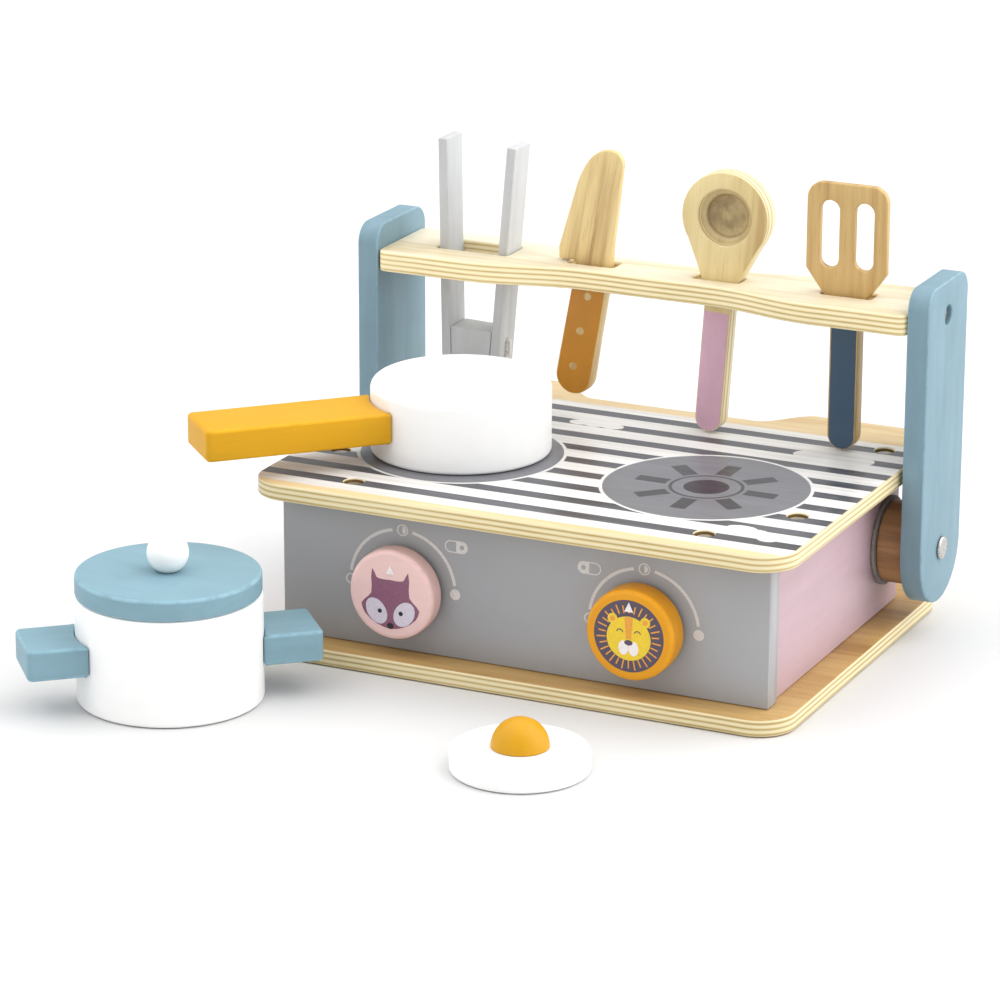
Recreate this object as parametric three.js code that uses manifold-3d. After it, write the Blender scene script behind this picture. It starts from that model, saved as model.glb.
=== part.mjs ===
// A wooden toy kitchen: a low plywood box with a printed hob and two knobs, a utensil rack that folds
// back on two pivots, a pan, a lidded pot, a fried egg and four utensils.
// Millimetres. +Z is up, the knobs face -Y, and the origin is the centre of the base board's underside.
import * as THREE from 'three';
import { mergeVertices } from 'three/addons/utils/BufferGeometryUtils.js';
import Module from 'manifold-3d';

const wasm = await Module();
wasm.setup();

// ---------------------------------------------------------------- driving dimensions
const GAP = 0.3;                       // clearance between pieces that touch
const ROUND = 28;                      // segments of a middling circle
const BIG_ROUND = 40;                  // segments of a pan or a pot
const SMALL_ROUND = 10;                // segments of a hole or a bolt

// Box
const BOARD_WIDTH = 300;
const BOARD_DEPTH = 235;
const PLY = 9;                         // thickness of the base, hob, side and back boards
const BOARD_CORNER = 20;
const NOTCH_DEPTH = 22;                // the back edge is set in between the two ends
const NOTCH_HALF = 48;                 // half length of the set-in stretch
const NOTCH_RAMP = 27;                 // length of the curve at each end of it
const HOB_TOP = 95;
const HOB_UNDER = HOB_TOP - PLY;
const WALL_LOW = PLY + GAP;
const WALL_HIGH = HOB_UNDER - GAP;
const FRONT_THICK = 12;
const FRONT_WIDTH = 272.7;
const FRONT_FACE_Y = -100.75;
const SIDE_OUTER_X = 134;
const SIDE_FRONT_Y = FRONT_FACE_Y + FRONT_THICK + GAP;
const BACK_FACE_Y = 87.2;

// Screws that hold the hob and the base to the walls
const SCREW_SPOTS = [[98, -94.75], [129.5, -48.5], [129.5, 75.2]];
const SCREW_WELL_R = 5.4;              // well that the head sits in
const SCREW_WELL_DEPTH = 4.5;
const SCREW_HEAD_R = 4;
const SCREW_SHANK_R = 1.6;
const SCREW_LENGTH = 19;
const SCREW_CLEAR = 0.35;              // radial room round a shank

// Rack and its pivots
const PIVOT_Y = 69.7;
const PIVOT_Z = 47.5;
const PIVOT_BOLT_R = 3.6;
const PIVOT_BORE_R = 4;
const PIVOT_CAP_R = 6.2;
const PIVOT_CAP_THICK = 1.5;
const PIVOT_NUT_R = 7;
const PIVOT_NUT_THICK = 6;
const SPACER_R = 22;
const PIVOT_WASHER_R = 24;
const PIVOT_WASHER_THICK = 1.7;
const ARM_INNER_X = 152.4;
const ARM_THICK = 12;
const ARM_WIDTH = 59;
const ARM_TOP = 193;
const ARM_TOP_CORNER = 11;
const SHELF_TOP = 180;
const SHELF_THICK = 11.4;
const SHELF_FRONT_END_Y = 39.0;        // front edge near the arms
const SHELF_FRONT_MID_Y = 50.6;        // front edge in the middle
const SHELF_BACK_END_Y = 95.5;
const SHELF_BACK_MID_Y = 83.8;
const SHELF_CORNER = 5;
const SHELF_SCREW_R = 2;
const SHELF_SCREW_LENGTH = 32;
const SLOT_CORNER = 2;

// Knobs
const KNOB_X = 67.5;
const KNOB_Z = 43;
const KNOB_R = 24;
const KNOB_EDGE = 3;
const LEFT_KNOB_DEPTH = 10.8;
const RIGHT_KNOB_DEPTH = 14;
const KNOB_WASHER_R = 9;
const KNOB_WASHER_THICK = 2;
const KNOB_BOLT_R = 2.8;
const KNOB_BORE_R = 3.2;
const KNOB_BOLT_DEPTH = 6;             // how far the bolt reaches into the knob
const KNOB_NUT_R = 6;
const KNOB_NUT_THICK = 4.5;

// Pan
const PAN_PLACE = [-72.3, -21];
const PAN_R = 47.8;
const PAN_HEIGHT = 39.4;
const PAN_WALL_TOP = 10.5;
const PAN_HOLLOW_DEPTH = 24;
const PAN_HANDLE_WIDTH = 38;
const PAN_HANDLE_THICK = 17;
const PAN_HANDLE_REACH = 144.6;          // from the pan's axis to the handle's end
const PAN_HANDLE_MID_Z = 20.8;
const PAN_HANDLE_TURN = 225.3;         // degrees about +Z
const DOWEL_R = 4;

// Pot and lid
const POT_PLACE = [-154.1, -190.6];
const POT_R = 47.8;
const POT_HEIGHT = 56;
const POT_WALL = 9;
const POT_FLOOR = 8;
const POT_HANDLE_WIDTH = 37.5;
const POT_HANDLE_THICK = 16.5;
const POT_HANDLE_REACH = 76;
const POT_HANDLE_LEFT_Z = 28.8;
const POT_HANDLE_RIGHT_Z = 26.2;       // the two handles sit at slightly different heights
const POT_HANDLE_TURN = 41;
const LID_R = 47.4;
const LID_THICK = 11;
const LID_LIP_R = 38;
const LID_LIP_DEPTH = 3;
const BALL_R = 10.7;
const BALL_CENTRE_Z = 77;
const BALL_DOWEL_R = 3;

// Egg
const EGG_PLACE = [48.7, -204.5];
const EGG_WHITE_R = 34.8;
const EGG_WHITE_THICK = 11.4;
const YOLK_R = 14.5;

// Utensils stand in the shelf's slots. Each leans by its own angle, in the shelf's plane.
const UTENSIL_Y = 67;
const SLOT_WIDTH = 12.6;
const KNIFE_X = -39.1;
const KNIFE_LEAN = 9.5;
const KNIFE_HANDLE_THICK = 7.5;
const KNIFE_BLADE_THICK = 4.5;
const SPOON_X = 39;
const SPOON_LEAN = 3.9;
const SPOON_THICK = 11;
const SPOON_HEAD_R = 24.4;
const SPOON_HEAD_UP = 34.4;            // height of the head's centre above the shelf
const SPOON_NECK_HALF = 10.8;
const SPOON_HANDLE_HALF = 7.5;
const SPOON_HANDLE_DOWN = 84;          // how far the handle reaches below the shelf's top
const SPOON_RIM_R = 15.3;
const SPOON_RIM_DEPTH = 3.5;
const SPOON_BOWL_R = 12.2;
const SPOON_BOWL_DEPTH = 8;
const SPATULA_X = 109.5;
const SPATULA_HANDLE_THICK = 8.8;
const SPATULA_BLADE_THICK = 4.5;
const SPATULA_BLADE_HALF = 22.4;
const SPATULA_BLADE_TOP = 59.5;
const SPATULA_HANDLE_HALF = 8;
const SPATULA_HANDLE_DOWN = 84;
const SPATULA_CORNER = 9;
const SPATULA_SLOT_X = 9.6;
const SPATULA_SLOT_HALF = 5.3;
const TONGS_X = -105.9;
const TONGS_Y = 69.7;
const TONGS_Z = 135.8;                 // top of the block between the arms
const TONGS_LEAN = 1.9;
const TONGS_SPLAY = 2.9;
const TONG_THICK = 5.4;
const TONG_DEPTH = 19;
const TONG_UP = 104.5;
const TONG_DOWN = 19;
const TONGS_GAP_HALF = 12.5;           // half the space between the arms at the block's top
const BLOCK_HEIGHT = 18;
const CORD_R = 1.1;
const CORD_HOLE_R = 1.6;
const CORD_HIGH = -6;                  // the two cord holes, below the block's top
const CORD_LOW = -13.5;

// ---------------------------------------------------------------- materials
function paint(colour, roughness, metalness = 0) {
  return new THREE.MeshStandardMaterial({ color: colour, roughness, metalness });
}
const plywood = () => paint(0xe3cc9c, 0.55);
const solidWood = () => paint(0xd9b97c, 0.5);
const brownWood = () => paint(0x9c7347, 0.6);
const greyPaint = () => paint(0x9c9c9e, 0.4);
const pinkPaint = () => paint(0xd9bcc6, 0.4);
const bluePaint = () => paint(0x94b5c1, 0.5);
const orangePaint = () => paint(0xe6a02c, 0.45);
const rosePaint = () => paint(0xe8c0be, 0.45);
const whitePaint = () => paint(0xf3f3f2, 0.35);
const tongsPaint = () => paint(0xc9c9cb, 0.55);
const steel = () => paint(0xb9b6b0, 0.3, 1);
const feltGrey = () => paint(0x8a8583, 0.9);
const elasticWhite = () => paint(0xeeece6, 0.85);

// ---------------------------------------------------------------- solids
function solid(geometry) {
  const bare = geometry.clone();
  bare.deleteAttribute('normal');
  bare.deleteAttribute('uv');
  const merged = mergeVertices(bare, 1e-4);
  const mesh = new wasm.Mesh({
    numProp: 3,
    vertProperties: new Float32Array(merged.attributes.position.array),
    triVerts: new Uint32Array(merged.index.array),
  });
  return new wasm.Manifold(mesh);
}

function geometryOf(body) {
  const mesh = body.getMesh();
  const geometry = new THREE.BufferGeometry();
  geometry.setAttribute('position', new THREE.BufferAttribute(mesh.vertProperties, 3));
  geometry.setIndex(new THREE.BufferAttribute(mesh.triVerts, 1));
  return geometry;
}

function cut(body, ...cutters) {
  return cutters.reduce((left, cutter) => left.subtract(cutter), body);
}

function node(name, body, material) {
  const mesh = new THREE.Mesh(geometryOf(body), material);
  mesh.name = name;
  return mesh;
}

// A plate of the outline, from z = 0 to its thickness, with its edges eased.
function plate(outline, thickness, ease = 0, curveSegments = 8) {
  const geometry = new THREE.ExtrudeGeometry(outline, {
    depth: thickness - 2 * ease,
    bevelEnabled: ease > 0,
    bevelThickness: ease,
    bevelSize: ease,
    bevelOffset: -ease,
    bevelSegments: 1,
    curveSegments,
  });
  return geometry.translate(0, 0, ease);
}

// Stand a plate up: its outline's x and y become X and Z, and its thickness is centred on y = 0.
function standUp(geometry, thickness) {
  return geometry.translate(0, 0, -thickness / 2).rotateX(Math.PI / 2);
}

// Stand a plate on its side: its outline's x and y become Y and Z, and its thickness runs along +X.
function standSideways(geometry) {
  return geometry.rotateX(Math.PI / 2).rotateZ(Math.PI / 2);
}

// A cylinder along an axis ('x', 'y' or 'z') between two places on it.
function rod(axis, radius, from, to, across = [0, 0], segments = SMALL_ROUND) {
  const geometry = new THREE.CylinderGeometry(radius, radius, Math.abs(to - from), segments);
  const middle = (from + to) / 2;
  if (axis === 'x') {
    geometry.rotateZ(Math.PI / 2).translate(middle, across[0], across[1]);
  } else if (axis === 'y') {
    geometry.translate(across[0], middle, across[1]);
  } else {
    geometry.rotateX(Math.PI / 2).translate(across[0], across[1], middle);
  }
  return solid(geometry);
}

function block(width, depth, height, x, y, z) {
  return solid(new THREE.BoxGeometry(width, depth, height).translate(x, y, z));
}

// A turned piece about +Z. The profile is a list of [radius, height], from the axis and back to it.
function turned(profile, segments = ROUND) {
  const points = profile.map(([radius, height]) => new THREE.Vector2(Math.max(radius, 0), height));
  return solid(new THREE.LatheGeometry(points, segments).rotateX(Math.PI / 2));
}

// Profile points of a rounded edge, a quarter turn about (radius, height) between two angles in degrees.
function roundedEdge(radius, height, edge, startDegrees, endDegrees, steps = 4) {
  const points = [];
  for (let i = 0; i <= steps; i += 1) {
    const angle = THREE.MathUtils.degToRad(startDegrees + (endDegrees - startDegrees) * i / steps);
    points.push([radius + edge * Math.cos(angle), height + edge * Math.sin(angle)]);
  }
  return points;
}

// A disc with rounded rims, standing on z = low.
function roundedDisc(radius, low, high, lowEdge, highEdge, segments = ROUND) {
  return turned([
    [0, low],
    ...roundedEdge(radius - lowEdge, low + lowEdge, lowEdge, -90, 0),
    ...roundedEdge(radius - highEdge, high - highEdge, highEdge, 0, 90),
    [0, high],
  ], segments);
}

function roundedRectangle(left, low, right, high, corner) {
  const outline = new THREE.Shape();
  outline.moveTo(left + corner, low);
  outline.lineTo(right - corner, low);
  outline.absarc(right - corner, low + corner, corner, -Math.PI / 2, 0);
  outline.lineTo(right, high - corner);
  outline.absarc(right - corner, high - corner, corner, 0, Math.PI / 2);
  outline.lineTo(left + corner, high);
  outline.absarc(left + corner, high - corner, corner, Math.PI / 2, Math.PI);
  outline.lineTo(left, low + corner);
  outline.absarc(left + corner, low + corner, corner, Math.PI, Math.PI * 1.5);
  return outline;
}

// A smooth step from 0 to 1 as t goes from 0 to 1.
function smoothStep(t) {
  return 0.5 - 0.5 * Math.cos(Math.PI * THREE.MathUtils.clamp(t, 0, 1));
}

function hexNut(axis, radius, from, to, across, boreRadius) {
  return cut(rod(axis, radius, from, to, across, 6), rod(axis, boreRadius, from - 1, to + 1, across));
}

function placed(x, y, z, ...children) {
  const group = new THREE.Group();
  group.position.set(x, y, z);
  group.add(...children);
  return group;
}

// ---------------------------------------------------------------- box
function boardOutline() {
  const half = BOARD_WIDTH / 2;
  const front = -BOARD_DEPTH / 2;
  const back = BOARD_DEPTH / 2;
  const corner = BOARD_CORNER;
  const outline = new THREE.Shape();
  outline.moveTo(-half + corner, front);
  outline.lineTo(half - corner, front);
  outline.absarc(half - corner, front + corner, corner, -Math.PI / 2, 0);
  outline.lineTo(half, back - corner);
  outline.absarc(half - corner, back - corner, corner, 0, Math.PI / 2);
  const rampSteps = 8;
  for (let i = 0; i <= rampSteps; i += 1) {
    const t = i / rampSteps;
    outline.lineTo(NOTCH_HALF + NOTCH_RAMP * (1 - t), back - NOTCH_DEPTH * smoothStep(t));
  }
  for (let i = 0; i <= rampSteps; i += 1) {
    const t = i / rampSteps;
    outline.lineTo(-NOTCH_HALF - NOTCH_RAMP * t, back - NOTCH_DEPTH * smoothStep(1 - t));
  }
  outline.lineTo(-half + corner, back);
  outline.absarc(-half + corner, back - corner, corner, Math.PI / 2, Math.PI);
  outline.lineTo(-half, front + corner);
  outline.absarc(-half + corner, front + corner, corner, Math.PI, Math.PI * 1.5);
  return outline;
}

// The places of the six screws in a board, with their names.
function screwPlaces() {
  const rows = ['front', 'middle', 'back'];
  const places = [];
  SCREW_SPOTS.forEach(([x, y], row) => {
    places.push({ name: `${rows[row]}_left`, x: -x, y });
    places.push({ name: `${rows[row]}_right`, x, y });
  });
  return places;
}

// A board from z = 0 to its thickness, with wells for six screws on its upper side.
function screwedBoard() {
  const holes = screwPlaces().flatMap(({ x, y }) => [
    rod('z', SCREW_WELL_R, PLY - SCREW_WELL_DEPTH, PLY + 1, [x, y], 14),
    rod('z', SCREW_SHANK_R + SCREW_CLEAR, -1, PLY, [x, y]),
  ]);
  return cut(solid(plate(boardOutline(), PLY, 1)), ...holes);
}

// A countersunk screw whose head's flat top is at z = 0, pointing down.
function screw(length, headRadius, shankRadius) {
  const headDepth = headRadius - shankRadius;
  return turned([
    [0, -length],
    [shankRadius * 0.4, -length],
    [shankRadius, -length + 3],
    [shankRadius, -headDepth],
    [headRadius, -0.4],
    [headRadius, 0],
    [0, 0],
  ], 8);
}

// Blind holes for the screws' shanks, from both ends of the walls.
function shankHoles() {
  const radius = SCREW_SHANK_R + SCREW_CLEAR;
  const reach = SCREW_LENGTH;
  return screwPlaces().flatMap(({ x, y }) => [
    rod('z', radius, WALL_HIGH - reach, WALL_HIGH + 1, [x, y]),
    rod('z', radius, WALL_LOW - 1, WALL_LOW + reach, [x, y]),
  ]);
}

function frontPanel() {
  const outline = roundedRectangle(-FRONT_WIDTH / 2, WALL_LOW, FRONT_WIDTH / 2, WALL_HIGH, 0.5);
  const panel = solid(standUp(plate(outline, FRONT_THICK, 0.6, 1), FRONT_THICK));
  const bores = [-KNOB_X, KNOB_X].map((x) => rod('y', KNOB_BORE_R, -200, 0, [x, KNOB_Z], 12));
  return cut(panel.translate([0, FRONT_FACE_Y + FRONT_THICK / 2, 0]), ...shankHoles(), ...bores);
}

function backPanel() {
  const width = 2 * (SIDE_OUTER_X - PLY - GAP);
  return block(width, PLY, WALL_HIGH - WALL_LOW, 0, BACK_FACE_Y - PLY / 2, (WALL_HIGH + WALL_LOW) / 2);
}

function sidePanel(side) {
  const outline = roundedRectangle(SIDE_FRONT_Y, WALL_LOW, BACK_FACE_Y, WALL_HIGH, 0.5);
  const panel = solid(standSideways(plate(outline, PLY, 0, 1)));
  const low = side > 0 ? SIDE_OUTER_X - PLY : -SIDE_OUTER_X;
  const bore = rod('x', PIVOT_BORE_R, -200, 200, [PIVOT_Y, PIVOT_Z]);
  return cut(panel.translate([low, 0, 0]), bore, ...shankHoles());
}

function boardScrews() {
  const drop = SCREW_WELL_DEPTH - (SCREW_HEAD_R - SCREW_SHANK_R) - GAP;
  const body = screw(SCREW_LENGTH, SCREW_HEAD_R, SCREW_SHANK_R);
  return screwPlaces().flatMap(({ name, x, y }) => {
    const hobScrew = node(`hob_screw_${name}`, body, steel());
    hobScrew.position.set(x, y, HOB_TOP - drop);
    const baseScrew = node(`base_screw_${name}`, body, steel());
    baseScrew.position.set(x, y, drop);
    baseScrew.rotation.x = Math.PI;
    return [hobScrew, baseScrew];
  });
}

function kitchenBox() {
  const base = node('base_board', screwedBoard().rotate([0, 180, 0]).translate([0, 0, PLY]), plywood());
  const hob = node('hob_board', screwedBoard().translate([0, 0, HOB_UNDER]), plywood());
  return [
    base,
    hob,
    node('front_panel', frontPanel(), greyPaint()),
    node('back_panel', backPanel(), plywood()),
    node('left_side_panel', sidePanel(-1), pinkPaint()),
    node('right_side_panel', sidePanel(1), pinkPaint()),
    ...boardScrews(),
  ];
}

// ---------------------------------------------------------------- pivots and rack
// A piece made on the right-hand side, mirrored when it belongs on the left.
function handed(side, body) {
  return side > 0 ? body : body.mirror([1, 0, 0]);
}

function ring(radius, boreRadius, from, to, segments = ROUND) {
  const axis = [PIVOT_Y, PIVOT_Z];
  return cut(rod('x', radius, from, to, axis, segments), rod('x', boreRadius, from - 1, to + 1, axis));
}

// The bolt lies along +X. Its domed cap sits on the arm, and its end holds the nut inside the box.
function pivotBolt() {
  const capStart = ARM_INNER_X + ARM_THICK + GAP;
  const bolt = turned([
    [0, SIDE_OUTER_X - PLY - PIVOT_NUT_THICK - 2],
    [PIVOT_BOLT_R, SIDE_OUTER_X - PLY - PIVOT_NUT_THICK - 2],
    [PIVOT_BOLT_R, capStart],
    ...roundedEdge(PIVOT_CAP_R - 0.4, capStart + 0.4, 0.4, -90, 0, 1),
    ...roundedEdge(PIVOT_CAP_R - 0.8, capStart + PIVOT_CAP_THICK - 0.8, 0.8, 0, 90, 2),
    [0, capStart + PIVOT_CAP_THICK],
  ], 14);
  return bolt.rotate([0, 90, 0]).translate([0, PIVOT_Y, PIVOT_Z]);
}

function pivotPieces(side) {
  const name = side > 0 ? 'right' : 'left';
  const washerStart = SIDE_OUTER_X + GAP;
  const spacerStart = washerStart + PIVOT_WASHER_THICK + GAP;
  const washer = ring(PIVOT_WASHER_R, PIVOT_BORE_R, washerStart, washerStart + PIVOT_WASHER_THICK);
  const spacer = ring(SPACER_R, PIVOT_BORE_R, spacerStart, ARM_INNER_X - GAP);
  const nutEnd = SIDE_OUTER_X - PLY - GAP;
  const nut = ring(PIVOT_NUT_R, PIVOT_BORE_R, nutEnd - PIVOT_NUT_THICK, nutEnd, 6);
  return [
    node(`${name}_pivot_washer`, handed(side, washer), feltGrey()),
    node(`${name}_pivot_spacer`, handed(side, spacer), brownWood()),
    node(`${name}_pivot_bolt`, handed(side, pivotBolt()), steel()),
    node(`${name}_pivot_nut`, handed(side, nut), steel()),
  ];
}

const SHELF_SCREW_Y = PIVOT_Y + 0.5;
const SHELF_MID_Z = SHELF_TOP - SHELF_THICK / 2;

function rackArm() {
  const half = ARM_WIDTH / 2;
  const corner = ARM_TOP_CORNER;
  const outline = new THREE.Shape();
  outline.moveTo(PIVOT_Y - half, PIVOT_Z);
  outline.absarc(PIVOT_Y, PIVOT_Z, half, Math.PI, 2 * Math.PI);
  outline.lineTo(PIVOT_Y + half, ARM_TOP - corner);
  outline.absarc(PIVOT_Y + half - corner, ARM_TOP - corner, corner, 0, Math.PI / 2);
  outline.lineTo(PIVOT_Y - half + corner, ARM_TOP);
  outline.absarc(PIVOT_Y - half + corner, ARM_TOP - corner, corner, Math.PI / 2, Math.PI);
  const arm = solid(standSideways(plate(outline, ARM_THICK, 0.8, 9))).translate([ARM_INNER_X, 0, 0]);
  const outer = ARM_INNER_X + ARM_THICK;
  const screwAxis = [SHELF_SCREW_Y, SHELF_MID_Z];
  return cut(
    arm,
    rod('x', PIVOT_BORE_R, ARM_INNER_X - 1, outer + 1, [PIVOT_Y, PIVOT_Z]),
    rod('x', SCREW_WELL_R, outer - SCREW_WELL_DEPTH, outer + 1, screwAxis, 14),
    rod('x', SHELF_SCREW_R + SCREW_CLEAR, ARM_INNER_X - 1, outer, screwAxis),
  );
}

function shelfOutline() {
  const half = ARM_INNER_X - GAP;
  const frontDip = SHELF_FRONT_MID_Y - SHELF_FRONT_END_Y;
  const backDip = SHELF_BACK_END_Y - SHELF_BACK_MID_Y;
  const outline = new THREE.Shape();
  const steps = 22;
  outline.absarc(-half + SHELF_CORNER, SHELF_FRONT_END_Y + SHELF_CORNER, SHELF_CORNER, Math.PI, Math.PI * 1.5);
  for (let i = 1; i < steps; i += 1) {
    const x = -half + SHELF_CORNER + 2 * (half - SHELF_CORNER) * i / steps;
    outline.lineTo(x, SHELF_FRONT_MID_Y - frontDip * smoothStep((Math.abs(x) - 35) / 65));
  }
  outline.absarc(half - SHELF_CORNER, SHELF_FRONT_END_Y + SHELF_CORNER, SHELF_CORNER, -Math.PI / 2, 0);
  outline.absarc(half - SHELF_CORNER, SHELF_BACK_END_Y - SHELF_CORNER, SHELF_CORNER, 0, Math.PI / 2);
  for (let i = 1; i < steps; i += 1) {
    const x = half - SHELF_CORNER - 2 * (half - SHELF_CORNER) * i / steps;
    outline.lineTo(x, SHELF_BACK_MID_Y + backDip * smoothStep((Math.abs(x) - 25) / 85));
  }
  outline.absarc(-half + SHELF_CORNER, SHELF_BACK_END_Y - SHELF_CORNER, SHELF_CORNER, Math.PI / 2, Math.PI);
  return outline;
}

// A slot through the shelf between two places in X.
function shelfSlot(left, right, middleY, width) {
  const outline = roundedRectangle(left, middleY - width / 2, right, middleY + width / 2, SLOT_CORNER);
  return solid(plate(outline, SHELF_THICK + 20, 0, 3)).translate([0, 0, SHELF_TOP - SHELF_THICK - 10]);
}

function rackShelf() {
  const shelf = solid(plate(shelfOutline(), SHELF_THICK, 1.5, 3)).translate([0, 0, SHELF_TOP - SHELF_THICK]);
  const screwAxis = [SHELF_SCREW_Y, SHELF_MID_Z];
  const reach = ARM_INNER_X + ARM_THICK - SHELF_SCREW_LENGTH - 3;
  return cut(
    shelf,
    shelfSlot(-126.6, -83.6, TONGS_Y, TONG_DEPTH + 3),
    shelfSlot(-49.8, -22, UTENSIL_Y, SLOT_WIDTH),
    shelfSlot(23, 50.3, UTENSIL_Y, SLOT_WIDTH),
    shelfSlot(95.7, 124.3, UTENSIL_Y, SLOT_WIDTH),
    rod('x', SHELF_SCREW_R + SCREW_CLEAR, reach, 200, screwAxis),
    rod('x', SHELF_SCREW_R + SCREW_CLEAR, -200, -reach, screwAxis),
  );
}

function shelfScrew() {
  const headDrop = SCREW_WELL_DEPTH - (SCREW_HEAD_R - SHELF_SCREW_R) - GAP;
  const body = screw(SHELF_SCREW_LENGTH - headDrop, SCREW_HEAD_R, SHELF_SCREW_R);
  const headX = ARM_INNER_X + ARM_THICK - headDrop;
  return body.rotate([0, 90, 0]).translate([headX, SHELF_SCREW_Y, SHELF_MID_Z]);
}

function rack() {
  const sides = [[-1, 'left'], [1, 'right']];
  return [
    node('rack_shelf', rackShelf(), plywood()),
    ...sides.map(([side, name]) => node(`${name}_rack_arm`, handed(side, rackArm()), bluePaint())),
    ...sides.map(([side, name]) => node(`${name}_shelf_screw`, handed(side, shelfScrew()), steel())),
  ];
}

// ---------------------------------------------------------------- knobs
// A knob's pieces are turned about +Z, then laid down so that the knob faces -Y.
function layKnob(body, x) {
  return body.rotate([90, 0, 0]).translate([x, 0, KNOB_Z]);
}

function knobPieces(name, x, depth, knobMaterial) {
  const panelFace = -FRONT_FACE_Y;
  const washerStart = panelFace + GAP;
  const knobStart = washerStart + KNOB_WASHER_THICK + GAP;
  const panelBack = panelFace - FRONT_THICK;
  const knob = roundedDisc(KNOB_R, knobStart, knobStart + depth, 1, KNOB_EDGE, 36);
  const socket = rod('z', KNOB_BORE_R, knobStart - 1, knobStart + KNOB_BOLT_DEPTH + GAP);
  const washer = cut(
    rod('z', KNOB_WASHER_R, washerStart, washerStart + KNOB_WASHER_THICK, [0, 0], 16),
    rod('z', KNOB_BORE_R, 0, 200),
  );
  const nutHigh = panelBack - GAP;
  const bolt = rod('z', KNOB_BOLT_R, nutHigh - KNOB_NUT_THICK - 2, knobStart + KNOB_BOLT_DEPTH);
  const nut = hexNut('z', KNOB_NUT_R, nutHigh - KNOB_NUT_THICK, nutHigh, [0, 0], KNOB_BORE_R);
  return [
    node(`${name}_knob`, layKnob(cut(knob, socket), x), knobMaterial),
    node(`${name}_knob_washer`, layKnob(washer, x), feltGrey()),
    node(`${name}_knob_bolt`, layKnob(bolt, x), steel()),
    node(`${name}_knob_nut`, layKnob(nut, x), steel()),
  ];
}

// ---------------------------------------------------------------- pan
// A flat handle along +X, whose inner end is hollowed to fit round a pan or pot.
function blockHandle(width, thick, reach, middleZ, bodyRadius) {
  const start = bodyRadius * Math.cos(Math.asin(width / 2 / bodyRadius)) - 2;
  const outline = roundedRectangle(start, -width / 2, reach, width / 2, 3);
  const bar = solid(plate(outline, thick, 1.5, 3)).translate([0, 0, middleZ - thick / 2]);
  const wall = rod('z', bodyRadius + GAP, middleZ - thick, middleZ + thick, [0, 0], 48);
  return bar.subtract(wall);
}

// A hollow vessel with rounded rims, standing on z = 0.
function vessel(radius, height, wall, floor, rimOuter, rimInner, floorEdge) {
  const inner = radius - wall;
  return turned([
    [0, 0],
    ...roundedEdge(radius - 2, 2, 2, -90, 0, 2),
    ...roundedEdge(radius - rimOuter, height - rimOuter, rimOuter, 0, 90, 3),
    ...roundedEdge(inner + rimInner, height - rimInner, rimInner, 90, 180, 2),
    ...roundedEdge(inner - floorEdge, floor + floorEdge, floorEdge, 0, -90, 3),
    [0, floor],
  ], BIG_ROUND);
}

function pan() {
  const holeDepth = 7.5;
  const turn = THREE.MathUtils.degToRad(PAN_HANDLE_TURN);
  const middle = [0, PAN_HANDLE_MID_Z];
  const bowl = vessel(PAN_R, PAN_HEIGHT, PAN_WALL_TOP, PAN_HEIGHT - PAN_HOLLOW_DEPTH, 5.5, 3.5, 12);
  const dowelHole = rod('x', DOWEL_R + GAP, PAN_R - holeDepth - GAP, PAN_R + 24, middle);
  const handle = blockHandle(
    PAN_HANDLE_WIDTH, PAN_HANDLE_THICK, PAN_HANDLE_REACH, PAN_HANDLE_MID_Z, PAN_R,
  );
  const dowel = rod('x', DOWEL_R, PAN_R - holeDepth, PAN_R + 23.5, middle);
  const group = placed(
    ...PAN_PLACE, HOB_TOP + GAP,
    node('pan_bowl', cut(bowl, dowelHole), whitePaint()),
    node('pan_handle', cut(handle, dowelHole), orangePaint()),
    node('pan_handle_dowel', dowel, solidWood()),
  );
  group.rotation.z = turn;
  return group;
}

// ---------------------------------------------------------------- pot
// One handle with its dowel, and the dowel's hole, all reaching out along +X.
function potHandle(middleZ) {
  const holeDepth = 6;
  const middle = [0, middleZ];
  const hole = rod('x', DOWEL_R + GAP, POT_R - holeDepth - GAP, POT_R + 16, middle);
  const bar = blockHandle(POT_HANDLE_WIDTH, POT_HANDLE_THICK, POT_HANDLE_REACH, middleZ, POT_R);
  return { bar: cut(bar, hole), dowel: rod('x', DOWEL_R, POT_R - holeDepth, POT_R + 15.5, middle), hole };
}

function pot() {
  const half = [0, 0, 180];
  const right = potHandle(POT_HANDLE_RIGHT_Z);
  const left = potHandle(POT_HANDLE_LEFT_Z);
  const body = cut(vessel(POT_R, POT_HEIGHT, POT_WALL, POT_FLOOR, 2, 1.5, 4), right.hole, left.hole.rotate(half));
  const group = placed(
    ...POT_PLACE, 0,
    node('pot_body', body, whitePaint()),
    node('pot_handle_right', right.bar, bluePaint()),
    node('pot_handle_left', left.bar.rotate(half), bluePaint()),
    node('pot_dowel_right', right.dowel, solidWood()),
    node('pot_dowel_left', left.dowel.rotate(half), solidWood()),
  );
  group.rotation.z = THREE.MathUtils.degToRad(POT_HANDLE_TURN);
  return group;
}

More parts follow.
